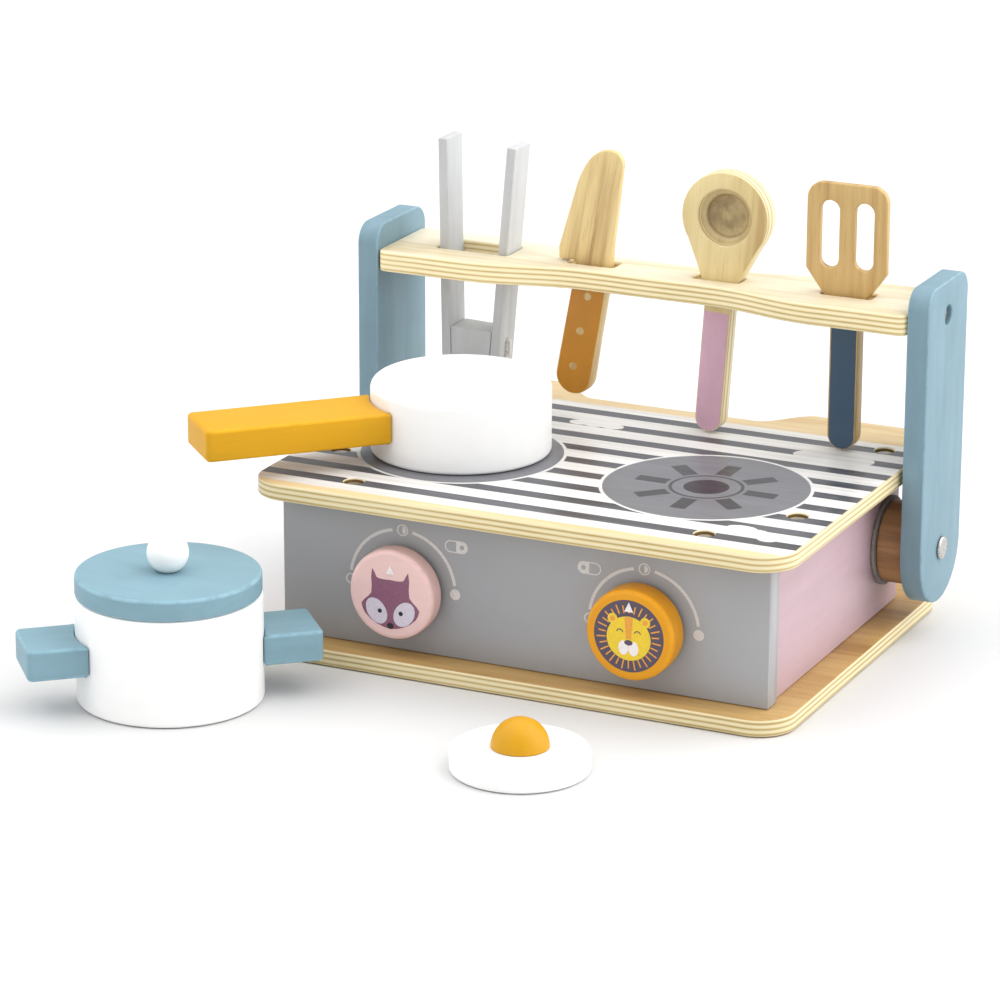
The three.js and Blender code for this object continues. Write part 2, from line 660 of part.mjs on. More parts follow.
function potLid() {
  const low = POT_HEIGHT + GAP;
  const high = low + LID_THICK;
  const dowelLow = low + 3;
  const flat = high + GAP;
  const disc = roundedDisc(LID_R, low, high, 1, 2, BIG_ROUND);
  const lip = rod('z', LID_LIP_R, low - LID_LIP_DEPTH, low + 2, [0, 0], ROUND);
  const dowelHole = rod('z', BALL_DOWEL_R + GAP, dowelLow, BALL_CENTRE_Z - 2);
  const sphere = solid(new THREE.SphereGeometry(BALL_R, 20, 14).rotateX(Math.PI / 2));
  const ball = cut(
    sphere.translate([0, 0, BALL_CENTRE_Z]),
    block(40, 40, 20, 0, 0, flat - 10),
    dowelHole,
  );
  return placed(
    ...POT_PLACE, 0,
    node('pot_lid', cut(disc.add(lip), dowelHole), bluePaint()),
    node('lid_ball', ball, whitePaint()),
    node('lid_ball_dowel', rod('z', BALL_DOWEL_R, dowelLow + GAP, BALL_CENTRE_Z - 2 - GAP), solidWood()),
  );
}

// ---------------------------------------------------------------- egg
function egg() {
  const white = roundedDisc(EGG_WHITE_R, 0, EGG_WHITE_THICK, 1.5, 3.5, BIG_ROUND);
  const yolkLow = EGG_WHITE_THICK + GAP;
  const yolk = turned([[0, yolkLow], ...roundedEdge(0, yolkLow, YOLK_R, 0, 90, 6)], 24);
  return placed(
    ...EGG_PLACE, 0,
    node('egg_white', white, whitePaint()),
    node('egg_yolk', yolk, orangePaint()),
  );
}

// ---------------------------------------------------------------- utensils
// A utensil is drawn face on, with the shelf's top at height 0. Seen from its edge it is thick in the
// handle and thin in the blade, with its front face flat.
function utensil(outline, handleThick, bladeThick, taperLow, taperHigh, ease, curveSegments) {
  const body = solid(standUp(plate(outline, handleThick, ease, curveSegments), handleThick));
  const front = -handleThick / 2;
  const reach = 200;
  const side = new THREE.Shape();
  side.moveTo(front - 1, -reach);
  side.lineTo(-front + 1, -reach);
  side.lineTo(-front + 1, taperLow - 12);
  side.lineTo(-front, taperLow);
  side.lineTo(front + bladeThick, taperHigh);
  side.lineTo(front + bladeThick, reach);
  side.lineTo(front - 1, reach);
  const wedge = solid(standSideways(plate(side, 2 * reach))).translate([-reach, 0, 0]);
  return handleThick === bladeThick ? body : body.intersect(wedge);
}

function standingUtensil(name, body, material, x, leanDegrees) {
  const group = placed(x, UTENSIL_Y, SHELF_TOP, node(name, body, material));
  group.rotation.y = THREE.MathUtils.degToRad(leanDegrees);
  return group;
}

function knife() {
  const outline = new THREE.Shape();
  outline.moveTo(-5.8, 0.2);
  outline.lineTo(-5.8, -12);
  outline.lineTo(-6.6, -62);
  outline.absarc(4.0, -63.2, 10.6, Math.PI, 2 * Math.PI);
  outline.lineTo(14.2, -40);
  outline.lineTo(14.2, 3);
  outline.lineTo(11.6, 57);
  outline.absarc(4.2, 57.2, 7.4, THREE.MathUtils.degToRad(-4), THREE.MathUtils.degToRad(98));
  outline.bezierCurveTo(-5, 63.6, -10.6, 56, -12.8, 41);
  outline.lineTo(-17.0, 5);
  outline.lineTo(-15.8, -1.6);
  const body = utensil(outline, KNIFE_HANDLE_THICK, KNIFE_BLADE_THICK, -12, 14, 0.8, 8);
  return standingUtensil('knife', body, solidWood(), KNIFE_X, KNIFE_LEAN);
}

function spoonOutline() {
  const outline = new THREE.Shape();
  const meet = THREE.MathUtils.degToRad(35);
  const tipHeight = -SPOON_HANDLE_DOWN + SPOON_HANDLE_HALF;
  outline.moveTo(-SPOON_NECK_HALF, 1);
  outline.quadraticCurveTo(-SPOON_HANDLE_HALF - 1.5, -3, -SPOON_HANDLE_HALF, -13);
  outline.absarc(0, tipHeight, SPOON_HANDLE_HALF, Math.PI, 2 * Math.PI);
  outline.lineTo(SPOON_HANDLE_HALF, -13);
  outline.quadraticCurveTo(SPOON_HANDLE_HALF + 1.5, -3, SPOON_NECK_HALF, 1);
  outline.absarc(0, SPOON_HEAD_UP, SPOON_HEAD_R, -meet, Math.PI + meet);
  return outline;
}

function spoon() {
  const body = utensil(spoonOutline(), SPOON_THICK, SPOON_THICK, 0, 0, 1, 12);
  const front = -SPOON_THICK / 2;
  const centre = [0, SPOON_HEAD_UP];
  const rim = rod('y', SPOON_RIM_R, front - 1, front + SPOON_RIM_DEPTH, centre, ROUND);
  const bowl = turned([
    [0, -10],
    [SPOON_BOWL_R, -10],
    [SPOON_BOWL_R, SPOON_RIM_DEPTH + 0.5],
    [SPOON_BOWL_R * 0.8, SPOON_BOWL_DEPTH - 2],
    [0, SPOON_BOWL_DEPTH],
  ], ROUND).rotate([-90, 0, 0]).translate([0, front, SPOON_HEAD_UP]);
  return standingUtensil('spoon', cut(body, rim, bowl), solidWood(), SPOON_X, SPOON_LEAN);
}

function spatulaOutline() {
  const half = SPATULA_BLADE_HALF;
  const corner = SPATULA_CORNER;
  const tipHeight = -SPATULA_HANDLE_DOWN + SPATULA_HANDLE_HALF;
  const outline = new THREE.Shape();
  outline.moveTo(-half, 13);
  outline.lineTo(-SPATULA_HANDLE_HALF, -6);
  outline.absarc(0, tipHeight, SPATULA_HANDLE_HALF, Math.PI, 2 * Math.PI);
  outline.lineTo(SPATULA_HANDLE_HALF, -6);
  outline.lineTo(half, 13);
  outline.absarc(half - corner, SPATULA_BLADE_TOP - corner, corner, 0, Math.PI / 2);
  outline.absarc(corner - half, SPATULA_BLADE_TOP - corner, corner, Math.PI / 2, Math.PI);
  return outline;
}

function spatula() {
  const r = SPATULA_SLOT_HALF;
  const slots = [-1, 1].map((side) => {
    const middle = side * SPATULA_SLOT_X;
    const outline = roundedRectangle(middle - r, 14, middle + r, 50, r - 0.01);
    return solid(standUp(plate(outline, 60, 0, 6), 60));
  });
  const body = utensil(spatulaOutline(), SPATULA_HANDLE_THICK, SPATULA_BLADE_THICK, -14, 16, 0.8, 8);
  return standingUtensil('spatula', cut(body, ...slots), solidWood(), SPATULA_X, 0);
}

// ---------------------------------------------------------------- tongs
// The tongs are drawn upright about the top of the block, which is the origin.
function cordHoles() {
  return [CORD_HIGH, CORD_LOW].map((height) => rod('x', CORD_HOLE_R, -40, 40, [0, height], 8));
}

function tongArm(side) {
  const outline = roundedRectangle(0, -TONG_DOWN, TONG_THICK, TONG_UP, 1);
  const bar = solid(standUp(plate(outline, TONG_DEPTH, 0.8, 1), TONG_DEPTH));
  const leaned = bar.rotate([0, TONGS_SPLAY, 0]).translate([TONGS_GAP_HALF, 0, 0]);
  return cut(handed(side, leaned), ...cordHoles());
}

function tongsBlock() {
  const slope = Math.tan(THREE.MathUtils.degToRad(TONGS_SPLAY));
  const top = TONGS_GAP_HALF - GAP;
  const bottom = top - BLOCK_HEIGHT * slope;
  const outline = new THREE.Shape();
  outline.moveTo(-bottom, -BLOCK_HEIGHT);
  outline.lineTo(bottom, -BLOCK_HEIGHT);
  outline.lineTo(top, 0);
  outline.lineTo(-top, 0);
  return cut(solid(standUp(plate(outline, TONG_DEPTH, 0.6), TONG_DEPTH)), ...cordHoles());
}

// One elastic cord runs through both holes and lies against the arms' outer faces.
function elasticLoop() {
  const half = TONGS_GAP_HALF + TONG_THICK + CORD_R + GAP;
  const corners = [CORD_HIGH, CORD_LOW].flatMap((height) => [[-half, height], [half, height]]);
  const ends = corners.map(([x, z]) => {
    return solid(new THREE.SphereGeometry(CORD_R, 8, 6)).translate([x, 0, z]);
  });
  const across = [CORD_HIGH, CORD_LOW].map((height) => rod('x', CORD_R, -half, half, [0, height], 8));
  const along = [-half, half].map((x) => rod('z', CORD_R, CORD_LOW, CORD_HIGH, [x, 0], 8));
  return [...ends, ...across, ...along].reduce((whole, piece) => whole.add(piece));
}

function tongs() {
  const group = placed(
    TONGS_X, TONGS_Y, TONGS_Z,
    node('left_tong_arm', tongArm(-1), tongsPaint()),
    node('right_tong_arm', tongArm(1), tongsPaint()),
    node('tongs_block', tongsBlock(), tongsPaint()),
    node('tongs_elastic', elasticLoop(), elasticWhite()),
  );
  group.rotation.y = THREE.MathUtils.degToRad(TONGS_LEAN);
  return group;
}

// ---------------------------------------------------------------- the whole kitchen
const toyKitchen = new THREE.Group();
toyKitchen.add(
  ...kitchenBox(),
  ...pivotPieces(-1),
  ...pivotPieces(1),
  ...rack(),
  ...knobPieces('left', -KNOB_X, LEFT_KNOB_DEPTH, rosePaint()),
  ...knobPieces('right', KNOB_X, RIGHT_KNOB_DEPTH, orangePaint()),
  pan(),
  pot(),
  potLid(),
  egg(),
  knife(),
  spoon(),
  spatula(),
  tongs(),
);

export default toyKitchen;
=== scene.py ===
"""A wooden toy kitchen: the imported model's frame, with fine meshes, materials, light and camera round it."""
import math

import bmesh
import bpy
from mathutils import Matrix, Vector


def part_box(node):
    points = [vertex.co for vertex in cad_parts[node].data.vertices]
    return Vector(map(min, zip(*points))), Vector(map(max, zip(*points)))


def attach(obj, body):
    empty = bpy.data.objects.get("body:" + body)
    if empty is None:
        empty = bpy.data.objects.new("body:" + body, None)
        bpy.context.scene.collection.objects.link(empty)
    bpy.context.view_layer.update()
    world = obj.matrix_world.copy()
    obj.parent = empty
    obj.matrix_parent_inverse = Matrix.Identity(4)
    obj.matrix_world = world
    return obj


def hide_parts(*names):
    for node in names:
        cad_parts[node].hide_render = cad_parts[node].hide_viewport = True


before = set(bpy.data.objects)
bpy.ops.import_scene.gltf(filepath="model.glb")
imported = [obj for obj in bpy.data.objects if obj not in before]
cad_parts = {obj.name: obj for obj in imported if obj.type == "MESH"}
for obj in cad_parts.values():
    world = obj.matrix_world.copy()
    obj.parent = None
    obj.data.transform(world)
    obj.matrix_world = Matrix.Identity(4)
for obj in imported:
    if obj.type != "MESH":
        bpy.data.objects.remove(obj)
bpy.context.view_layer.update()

MM = 0.001

# ---- the camera, at the photograph's angle
CAMERA_AIM = (-0.02298, -0.07699, 0.090)
CAMERA_AZIMUTH = 25.366
CAMERA_ELEVATION = 17.941
CAMERA_ROLL = 0.148
CAMERA_DISTANCE = 2.2327
CAMERA_LENS = 156.82


def make_camera():
    """A long lens, turned to the photograph's azimuth, elevation and small roll."""
    azimuth = math.radians(CAMERA_AZIMUTH)
    elevation = math.radians(CAMERA_ELEVATION)
    roll = math.radians(CAMERA_ROLL)
    level = math.cos(elevation)
    back = Vector((math.sin(azimuth) * level, -math.cos(azimuth) * level, math.sin(elevation)))
    right = Vector((math.cos(azimuth), math.sin(azimuth), 0))
    up = back.cross(right)
    turned_right = right * math.cos(roll) + up * math.sin(roll)
    turned_up = up * math.cos(roll) - right * math.sin(roll)
    camera = bpy.data.objects.new("camera", bpy.data.cameras.new("camera"))
    camera.data.lens = CAMERA_LENS
    camera.data.sensor_width = 36
    camera.data.clip_end = 20
    axes = Matrix((turned_right, turned_up, back)).transposed().to_4x4()
    axes.translation = Vector(CAMERA_AIM) + back * CAMERA_DISTANCE
    camera.matrix_world = axes
    bpy.context.scene.collection.objects.link(camera)
    bpy.context.scene.camera = camera


# ---- sizes, in millimetres, from the frame
def low_high(node):
    low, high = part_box(node)
    return [value / MM for value in low], [value / MM for value in high]


BASE_LOW, BASE_HIGH = low_high("base_board")
HOB_LOW, HOB_HIGH = low_high("hob_board")
ARM_LOW, ARM_HIGH = low_high("right_rack_arm")
SHELF_LOW, SHELF_HIGH = low_high("rack_shelf")
HALF_WIDTH = HOB_HIGH[0]
PANEL_FRONT = low_high("front_panel")[0][1]
HOB_TOP = HOB_HIGH[2]
SHELF_TOP = SHELF_HIGH[2]
PIVOT_Y = (ARM_LOW[1] + ARM_HIGH[1]) / 2
PIVOT_Z = ARM_LOW[2] + (ARM_HIGH[1] - ARM_LOW[1]) / 2


# ---- mesh code
def as_object(name, bm):
    mesh = bpy.data.meshes.new(name)
    bm.to_mesh(mesh)
    bm.free()
    obj = bpy.data.objects.new(name, mesh)
    bpy.context.scene.collection.objects.link(obj)
    return obj


def apply_modifiers(obj):
    """Bake an object's modifiers into its mesh."""
    graph = bpy.context.evaluated_depsgraph_get()
    mesh = bpy.data.meshes.new_from_object(obj.evaluated_get(graph))
    old = obj.data
    obj.modifiers.clear()
    obj.data = mesh
    mesh.name = obj.name
    bpy.data.meshes.remove(old)


def cut(obj, *cutters):
    """Take the cutters out of obj."""
    for cutter in cutters:
        modifier = obj.modifiers.new("cut", "BOOLEAN")
        modifier.operation = "DIFFERENCE"
        modifier.solver = "EXACT"
        modifier.object = cutter
    apply_modifiers(obj)
    for cutter in cutters:
        mesh = cutter.data
        bpy.data.objects.remove(cutter)
        bpy.data.meshes.remove(mesh)
    return obj


def ease(obj, width, steps=3, angle=40):
    """Round every edge sharper than the angle."""
    modifier = obj.modifiers.new("ease", "BEVEL")
    modifier.limit_method = "ANGLE"
    modifier.angle_limit = math.radians(angle)
    modifier.width = width * MM
    modifier.segments = steps
    modifier.use_clamp_overlap = False
    modifier.loop_slide = False
    apply_modifiers(obj)
    return obj


def smooth(obj, angle=35):
    """Shade smoothly, with edges sharper than the angle kept crisp."""
    for polygon in obj.data.polygons:
        polygon.use_smooth = True
    obj.data.set_sharp_from_angle(angle=math.radians(angle))
    return obj


def prisms(name, outlines, low, high):
    """Solids with each outline's x and y, between two heights, all in one object."""
    bm = bmesh.new()
    for outline in outlines:
        bottom = [bm.verts.new((x * MM, y * MM, low * MM)) for x, y in outline]
        face = bm.faces.new(bottom)
        result = bmesh.ops.extrude_face_region(bm, geom=[face])
        lifted = [item for item in result["geom"] if isinstance(item, bmesh.types.BMVert)]
        bmesh.ops.translate(bm, verts=lifted, vec=(0, 0, (high - low) * MM))
    bmesh.ops.recalc_face_normals(bm, faces=bm.faces)
    return as_object(name, bm)


def prism(name, outline, low, high):
    return prisms(name, [outline], low, high)


def turned(name, profile, steps=96):
    """A turned piece about the z axis. The profile runs from the axis, round the outside, and back to it."""
    bm = bmesh.new()
    rings = []
    for radius, height in profile:
        if radius < 1e-6:
            rings.append([bm.verts.new((0, 0, height * MM))])
            continue
        ring = []
        for i in range(steps):
            angle = 2 * math.pi * i / steps
            x, y = radius * math.cos(angle), radius * math.sin(angle)
            ring.append(bm.verts.new((x * MM, y * MM, height * MM)))
        rings.append(ring)
    for below, above in zip(rings, rings[1:]):
        for i in range(steps):
            j = (i + 1) % steps
            corners = [below[i % len(below)], below[j % len(below)]]
            corners += [above[j % len(above)], above[i % len(above)]]
            bm.faces.new(list(dict.fromkeys(corners)))
    if len(rings[0]) > 1:
        for i in range(steps):
            j = (i + 1) % steps
            bm.faces.new([rings[-1][i], rings[-1][j], rings[0][j], rings[0][i]])
    bmesh.ops.recalc_face_normals(bm, faces=bm.faces)
    return as_object(name, bm)


def drill(radius, low, high, place, steps=48):
    """A round cutter along its own z axis, moved to its place."""
    return move(turned("drill", [(0, low), (radius, low), (radius, high), (0, high)], steps), place)


def arc(x, y, radius, start, end, steps=16):
    """Points of an arc, from one angle in degrees to another."""
    points = []
    for i in range(steps + 1):
        angle = math.radians(start + (end - start) * i / steps)
        points.append((x + radius * math.cos(angle), y + radius * math.sin(angle)))
    return points


def right_corners(right, low, high, corner, steps):
    lower = arc(right - corner, low + corner, corner, -90, 0, steps)
    return lower + arc(right - corner, high - corner, corner, 0, 90, steps)


def top_corners(left, right, high, corner, steps):
    rightmost = arc(right - corner, high - corner, corner, 0, 90, steps)
    return rightmost + arc(left + corner, high - corner, corner, 90, 180, steps)


def rounded_box(left, low, right, high, corner, steps=10):
    """The outline of a rectangle with rounded corners."""
    outline = arc(right - corner, low + corner, corner, -90, 0, steps)
    outline += top_corners(left, right, high, corner, steps)
    return outline + arc(left + corner, low + corner, corner, 180, 270, steps)


def curve(*controls, steps):
    """Points along a Bezier curve, without its start."""
    points = []
    for i in range(1, steps + 1):
        level = [Vector(control) for control in controls]
        while len(level) > 1:
            level = [a.lerp(b, i / steps) for a, b in zip(level, level[1:])]
        points.append((level[0].x, level[0].y))
    return points


def smooth_step(t):
    t = min(max(t, 0), 1)
    return 0.5 - 0.5 * math.cos(math.pi * t)


def move(obj, matrix):
    """Bake a turn or a shift into the mesh, so that the object stays at the origin."""
    obj.data.transform(matrix)
    return obj


def shift(x, y, z):
    return Matrix.Translation((x * MM, y * MM, z * MM))


def turn(degrees, axis):
    return Matrix.Rotation(math.radians(degrees), 4, axis)


# The outline's x and y become X and Z, and its height runs towards -Y.
UPRIGHT = turn(90, "X")
# The outline's x and y become Y and Z, and its height runs along +X.
SIDEWAYS = turn(90, "Z") @ turn(90, "X")


# ---- material code
def linear(colour):
    """A colour written as six hex digits, as the linear numbers that Blender uses."""
    values = []
    for i in (0, 2, 4):
        value = int(colour[i:i + 2], 16) / 255
        values.append(value / 12.92 if value <= 0.04045 else ((value + 0.055) / 1.055) ** 2.4)
    return (*values, 1)


def tint(colour, factor):
    """The same colour, lighter or darker."""
    values = [min(round(int(colour[i:i + 2], 16) * factor), 255) for i in (0, 2, 4)]
    return "".join(f"{value:02X}" for value in values)


class Finish:
    """A material, with short ways to make the nodes that the finishes here share."""

    def __init__(self, name, roughness=0.5, metallic=0.0, coat=0.0, coat_roughness=0.2, gloss=0.5):
        self.material = bpy.data.materials.new(name)
        self.material.use_nodes = True
        self.nodes = self.material.node_tree.nodes
        self.links = self.material.node_tree.links
        self.nodes.clear()
        output = self.nodes.new("ShaderNodeOutputMaterial")
        self.shader = self.nodes.new("ShaderNodeBsdfPrincipled")
        self.links.new(self.shader.outputs[0], output.inputs[0])
        self.set_inputs(self.shader, {
            "Roughness": roughness, "Metallic": metallic, "Specular IOR Level": gloss,
            "Coat Weight": coat, "Coat Roughness": coat_roughness,
        })
        self.coordinates = self.nodes.new("ShaderNodeTexCoord")
        self.place = self.split(self.coordinates.outputs["Object"])
        self.normal = self.split(self.coordinates.outputs["Normal"])
        self.height = None

    def set_inputs(self, node, values):
        for name, value in values.items():
            node.inputs[name].default_value = value

    def put(self, value, socket):
        """Link a socket, or set a plain number or colour."""
        if isinstance(value, bpy.types.NodeSocket):
            self.links.new(value, socket)
        else:
            socket.default_value = value

    def split(self, vector):
        node = self.nodes.new("ShaderNodeSeparateXYZ")
        self.links.new(vector, node.inputs[0])
        return {"x": node.outputs[0], "y": node.outputs[1], "z": node.outputs[2]}

    def math(self, operation, a, b=0.0):
        node = self.nodes.new("ShaderNodeMath")
        node.operation = operation
        self.put(a, node.inputs[0])
        self.put(b, node.inputs[1])
        return node.outputs[0]

    def times(self, *values):
        product = values[0]
        for value in values[1:]:
            product = self.math("MULTIPLY", product, value)
        return product

    def plus(self, a, b):
        return self.math("ADD", a, b)

    def minus(self, a, b):
        return self.math("SUBTRACT", a, b)

    def over(self, a, b):
        return self.math("DIVIDE", a, b)

    def size(self, value):
        return self.math("ABSOLUTE", value)

    def length(self, a, b):
        """How far the point with those two coordinates is from the origin."""
        return self.math("SQRT", self.plus(self.times(a, a), self.times(b, b)))

    def blend(self, a, b, share=0.5):
        """Two values added, with the first one's share given."""
        return self.plus(self.times(a, share), self.times(b, 1 - share))

    def mm(self, axis):
        """A place along an axis, in millimetres."""
        return self.over(self.place[axis], MM)

    def facing(self, axis):
        """1 on the faces that look along an axis, and 0 on the others."""
        return self.span(self.size(self.normal[axis]), 0.55, 0.85)

    def band(self, value, low, high, soft):
        """1 where the value is between low and high, and 0 outside, with soft ends."""
        rise = self.span(value, low - soft, low + soft)
        return self.times(rise, self.span(value, high + soft, high - soft))

    def span(self, value, at_zero, at_one):
        """0 to 1 as the value goes from one number to the other, smoothly."""
        node = self.nodes.new("ShaderNodeMapRange")
        node.interpolation_type = "SMOOTHSTEP"
        self.put(value, node.inputs["Value"])
        start = 0.0 if at_zero < at_one else 1.0
        low, high = sorted((at_zero, at_one))
        self.set_inputs(node, {"From Min": low, "From Max": high, "To Min": start, "To Max": 1.0 - start})
        return node.outputs[0]

    def noise(self, scale, detail, roughness, stretch=(1, 1, 1), offset=(0, 0, 0), distortion=0.0):
        mapping = self.nodes.new("ShaderNodeMapping")
        self.links.new(self.coordinates.outputs["Object"], mapping.inputs[0])
        self.set_inputs(mapping, {"Scale": stretch, "Location": offset})
        node = self.nodes.new("ShaderNodeTexNoise")
        self.links.new(mapping.outputs[0], node.inputs["Vector"])
        self.set_inputs(node, {"Scale": scale, "Detail": detail, "Roughness": roughness})
        self.set_inputs(node, {"Distortion": distortion})
        return node.outputs["Fac"]

    def ramp(self, value, *stops):
        """Colours along 0 to 1. Each stop is (place, hex colour)."""
        node = self.nodes.new("ShaderNodeValToRGB")
        self.links.new(value, node.inputs[0])
        elements = node.color_ramp.elements
        while len(elements) < len(stops):
            elements.new(0.5)
        for element, (place, colour) in zip(elements, stops):
            element.position = place
            element.color = linear(colour)
        return node.outputs[0]

    def uneven(self, value, colour, amount):
        """A colour that gets a little lighter and darker with the value."""
        darker, paler = tint(colour, 1 - amount), tint(colour, 1 + amount)
        return self.ramp(value, (0.3, darker), (0.5, colour), (0.7, paler))

    def mix(self, factor, a, b, blend="MIX"):
        node = self.nodes.new("ShaderNodeMix")
        node.data_type = "RGBA"
        node.blend_type = blend
        self.put(factor, node.inputs[0])
        self.put(linear(a) if isinstance(a, str) else a, node.inputs[6])
        self.put(linear(b) if isinstance(b, str) else b, node.inputs[7])
        return node.outputs[2]

    def add_height(self, value, amount):
        """Add a relief of that many millimetres where the value is 1."""
        part = self.times(value, amount * MM)
        self.height = part if self.height is None else self.plus(self.height, part)

    def done(self, colour, roughness=None):
        self.put(colour, self.shader.inputs["Base Color"])
        if roughness is not None:
            self.put(roughness, self.shader.inputs["Roughness"])
        if self.height is not None:
            node = self.nodes.new("ShaderNodeBump")
            self.set_inputs(node, {"Strength": 1.0, "Distance": 1.0})
            self.links.new(self.height, node.inputs["Height"])
            self.links.new(node.outputs[0], self.shader.inputs["Normal"])
        return self.material


def along(axis, along_scale, across_scale):
    """Stretch factors for a pattern that runs along an axis."""
    return tuple(along_scale if name == axis else across_scale for name in "xyz")


def wood_grain(finish, grain_axis, pale="F2E0B8", middle="E9D3A2", dark="D3B57E", offset=(0, 0, 0)):
    """Flat-sawn grain along an axis: broad figure, fine streaks and short pores."""
    figure = finish.noise(34, 3, 0.5, along(grain_axis, 0.12, 1), offset, 0.6)
    streaks = finish.noise(210, 5, 0.6, along(grain_axis, 0.05, 1), offset)
    pores = finish.noise(900, 2, 0.5, along(grain_axis, 0.06, 1), offset)
    colour = finish.ramp(finish.blend(figure, streaks, 0.6), (0.36, dark), (0.47, middle), (0.62, pale))
    pore_mask = finish.span(pores, 0.62, 0.72)
    finish.add_height(streaks, 0.05)
    finish.add_height(pore_mask, -0.02)
    return finish.mix(finish.times(pore_mask, 0.25), colour, dark, "MULTIPLY")


def ply_layers(finish, axis, low, high, count, tone=1.0):
    """The edge of plywood between two heights in millimetres: pale layers with thin browner ones between."""
    height = finish.over(finish.minus(finish.place[axis], low * MM), (high - low) * MM)
    wobble = finish.minus(finish.noise(24, 2, 0.5, along(axis, 0.2, 1)), 0.5)
    wavy = finish.plus(height, finish.times(wobble, 0.06))
    wave = finish.math("PINGPONG", finish.times(wavy, count), 1.0)
    streaks = finish.noise(330, 4, 0.65, along(axis, 1, 0.08))
    broad = finish.noise(45, 3, 0.5, along(axis, 1, 0.25))
    uneven = finish.minus(finish.blend(streaks, broad), 0.5)
    mixed = finish.plus(wave, finish.times(uneven, 0.9))
    finish.add_height(mixed, 0.03)
    stops = ((0.1, "E6D9B4"), (0.55, "DACB9F"), (0.82, "C2AB76"), (1.0, "AD9560"))
    return finish.ramp(mixed, *((place, tint(colour, tone)) for place, colour in stops))


def worn_and_highlit_edge(finish, axis):
    """More than 0 on the eased edges of a plate whose thickness runs along the axis, broken up by noise."""
    eased = finish.band(finish.size(finish.normal[axis]), 0.22, 0.90, 0.1)
    broken = finish.span(finish.noise(160, 4, 0.6), 0.3, 0.62)
    return finish.times(eased, broken, 0.6)


def painted(name, colour, axis, grain_axis, roughness=0.42, uneven=0.04, relief=0.03, edge_wear_and_highlight=1.18):
    """Satin paint on wood: a slightly uneven coat over faint grain, paler on the eased edges, partly as wear
    and partly as a painted highlight.
    """
    finish = Finish(name, gloss=0.3)
    streaks = finish.noise(170, 4, 0.6, along(grain_axis, 0.08, 1))
    cloud = finish.noise(26, 4, 0.6)
    speckle = finish.noise(1700, 2, 0.5)
    base = finish.uneven(finish.blend(cloud, streaks), colour, uneven)
    # Paler eased edges: partly worn paint, partly a painted highlight where the rounded edges catch light.
    coloured = finish.mix(worn_and_highlit_edge(finish, axis), base, tint(colour, edge_wear_and_highlight))
    finish.add_height(streaks, relief)
    finish.add_height(speckle, 0.01)
    return finish.done(coloured, finish.plus(finish.times(speckle, 0.2), roughness - 0.1))


# ---- finishes
# The print on the hob, in millimetres.
HOB_WHITE_FRONT = -110.5
HOB_WHITE_BACK = 84.5
STRIPE_FIRST = -96.3
STRIPE_PITCH = 21.0
STRIPE_WIDE = 8.9
STRIPE_COUNT = 9
BURNER_X = 69.7
BURNER_Y = -25.0
BURNER_R = 53.6
BURNER_CENTRE_R = 11.85
# The inner and outer radii of the burners' thin ring and of their eight dashes.
BURNER_RING = (17.8, 19.6)
DASH_REACH = (21.6, 38.8)
DASH_HALF = 4.25
# The number of light and dark layers across a board, as shown on its edge.
BOARD_LAYERS = 6.3
# The screws' area on a board: half its width, and its front and back.
WELLS_HALF_X = 139
WELLS_FRONT = -103
WELLS_BACK = 82
# Rounded white patches that the stripes stop at: x, y, half length and half width.
CLOUDS = [
    (112, -79.5, 8, 4.2), (121, -83.5, 7, 5.2), (130, -90, 5.5, 4.5),
    (98, 50, 10, 7), (110, 53, 12, 10.5), (124, 50, 9, 7.5),
    (-36, 51, 6, 4.2), (-27, 52.5, 8, 6), (-17, 51, 6.5, 4.6),
    (-14, -62, 5, 3), (-7, -63.5, 6, 4),
]


def board_finish(name, woods, low, top):
    """A plywood board: grain on both faces, layers on the edge, and painted shade below the face in the
    screws' area, which darkens the wood inside the screw wells.
    """
    finish = Finish(name, 0.42, coat=0.08, coat_roughness=0.25, gloss=0.3)
    grain = wood_grain(finish, "x", *woods)
    colour = finish.mix(finish.facing("z"), ply_layers(finish, "z", low, top, BOARD_LAYERS), grain)
    # Painted shade: the wood inside the screw wells is darkened below the face, where shade falls in the
    # recess.
    painted_well_shade = finish.times(
        finish.band(finish.mm("y"), WELLS_FRONT, WELLS_BACK, 1),
        finish.span(finish.size(finish.mm("x")), WELLS_HALF_X + 1, WELLS_HALF_X - 1),
        finish.span(finish.mm("z"), top - 0.7, top - 1.3),
    )
    return finish, finish.mix(painted_well_shade, colour, "7A6238")


def base_finish():
    woods = ("C2A067", "B6925A", "9C7744")
    finish, wood = board_finish("base_plywood_finish", woods, BASE_LOW[2], BASE_HIGH[2])
    return finish.done(wood)


def stripe_mask(finish, x_mm, y_mm):
    """1 on the dark stripes, which stop at the clouds."""
    front = STRIPE_FIRST - STRIPE_PITCH / 2
    row = finish.over(finish.minus(y_mm, front), STRIPE_PITCH)
    off_centre = finish.size(finish.minus(finish.math("FRACT", row), 0.5))
    half = STRIPE_WIDE / STRIPE_PITCH / 2
    stripe = finish.span(off_centre, half + 0.015, half - 0.015)
    stripe = finish.times(stripe, finish.band(y_mm, front, front + STRIPE_PITCH * STRIPE_COUNT, 0.2))
    for cloud_x, cloud_y, half_x, half_y in CLOUDS:
        dx = finish.over(finish.minus(x_mm, cloud_x), half_x)
        dy = finish.over(finish.minus(y_mm, cloud_y), half_y)
        far = finish.plus(finish.times(dx, dx), finish.times(dy, dy))
        stripe = finish.times(stripe, finish.span(far, 0.96, 1.04))
    return stripe


